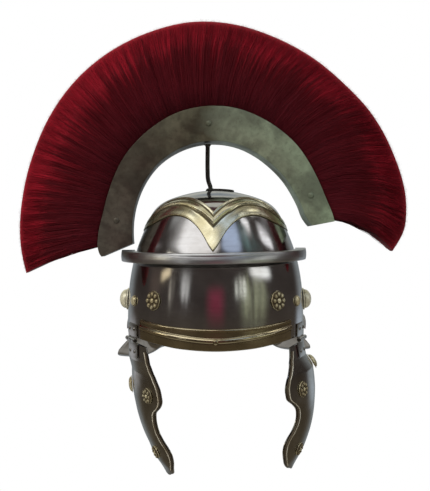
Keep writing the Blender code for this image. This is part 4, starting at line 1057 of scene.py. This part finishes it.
def makeSurroundings():
    # What the metal mirrors: a dark room with windows, streaks near the horizon and a pale wall far behind
    world = bpy.data.worlds.new("soft studio")
    bpy.context.scene.world = world
    paint = newPaint(world)
    x, y, z = paint.split(paint.term("TexCoord", output="Generated"))
    turn = paint.math("ARCTAN2", x, 0 - y) * (180 / math.pi)
    high = paint.math("ARCSINE", z) * (180 / math.pi)
    streaks = paint.step(paint.noise(paint.combine(turn * 0.2, high * 0.014, 0), 1, 2, 0.6), 0.38, 0.6)
    cloud = paint.noise(paint.combine(turn * 0.03, high * 0.06, 4), 1, 3, 0.6)
    ragged = (paint.noise(paint.combine(turn * 0.33, 0, 9), 1, 2, 0.7) - 0.5) * 26
    colour = paint.mix(paint.step(high, 4, -22), studio["dark"], studio["ground"])
    colour = paint.mix(paint.step(high, 52, 72), colour, studio["top"])
    behind = paint.mix(paint.step(high, 6, 22), studio["behindLow"], studio["behindHigh"])
    wall = paint.step(y, 0.64, 0.92) + paint.step(high, 24, 50) * paint.step(y, 0.2, 0.6)
    colour = paint.mix(wall, colour, behind)
    colour = paint.mix(paint.step(high, -38, -58), colour, studio["nearGround"])
    colour = paint.mix(1, colour, paint.mix(cloud, (0.6, 0.6, 0.6), (1.5, 1.46, 1.4)), "MULTIPLY")
    for azimuth, up, wide, tall, tilt, soft, streaky, tone in studio["patches"]:
        c, s = math.cos(math.radians(tilt)), math.sin(math.radians(tilt))
        u, v = turn - azimuth, high - up + (ragged if streaky else 0)
        across, along = (u * c + v * s) / wide, (v * c - u * s) / tall
        far = (across**4 + along**4) ** 0.25 + (cloud - 0.5) * 0.4
        mask = 1 - paint.step(far, 1 - soft, 1)
        if streaky:
            mask = mask * (0.15 + 0.85 * streaks)
        colour = paint.mix(mask, colour, tone)
    white = paint.term("Background", None, {"Color": (1, 1, 1, 1)})
    paint.finish(paint.byRay(white, paint.term("Background", None, {"Color": colour})), "OutputWorld")


def makeFloor():
    made = bpy.data.materials.new("pale floor")
    paint = newPaint(made)
    matt = paint.term("BsdfPrincipled", None, {"Base Color": (0.45, 0.44, 0.43, 1), "Roughness": 0.9})
    paint.finish(paint.byRay(paint.term("Emission", None, {"Color": (1, 1, 1, 1)}), matt))
    size, z = studio["floorSize"] / 2, studio["floor"]
    mesh = bpy.data.meshes.new("floor")
    mesh.from_pydata([(-size, -size, z), (size, -size, z), (size, size, z), (-size, size, z)], [], [range(4)])
    mesh.materials.append(made)
    floor = bpy.data.objects.new("floor", mesh)
    bpy.context.scene.collection.objects.link(floor)
    floor.visible_glossy = False


def makeLight(name, place, target, size, power, colour):
    lamp = bpy.data.lights.new(name, "AREA")
    lamp.shape = "DISK"
    lamp.size, lamp.energy, lamp.color = size, power, colour
    made = bpy.data.objects.new(name, lamp)
    made.location = place
    made.visible_glossy = False
    made.rotation_euler = (Vector(place) - Vector(target)).to_track_quat("Z", "Y").to_euler()
    bpy.context.scene.collection.objects.link(made)


makeSurroundings()
makeFloor()
for lamp in studio["lamps"]:
    makeLight(*lamp)

# Camera at the photo's place: level with the bowl, 0.8 m in front of it

view = {"distance": 0.8, "height": -0.0651, "sensor": 36, "focal": 672 / 491,
        "shift": (-0.6 / 491, 1.5 / 491)}
cameraData = bpy.data.cameras.new("camera")
cameraData.sensor_width = view["sensor"]
cameraData.lens = view["sensor"] * view["focal"]
cameraData.shift_x, cameraData.shift_y = view["shift"]
camera = bpy.data.objects.new("camera", cameraData)
camera.location = (0, -view["distance"], view["height"])
camera.rotation_euler = (math.pi / 2, 0, 0)
bpy.context.scene.collection.objects.link(camera)
bpy.context.scene.camera = camera
bpy.context.scene.view_settings.view_transform = "Standard"
print("studio made")
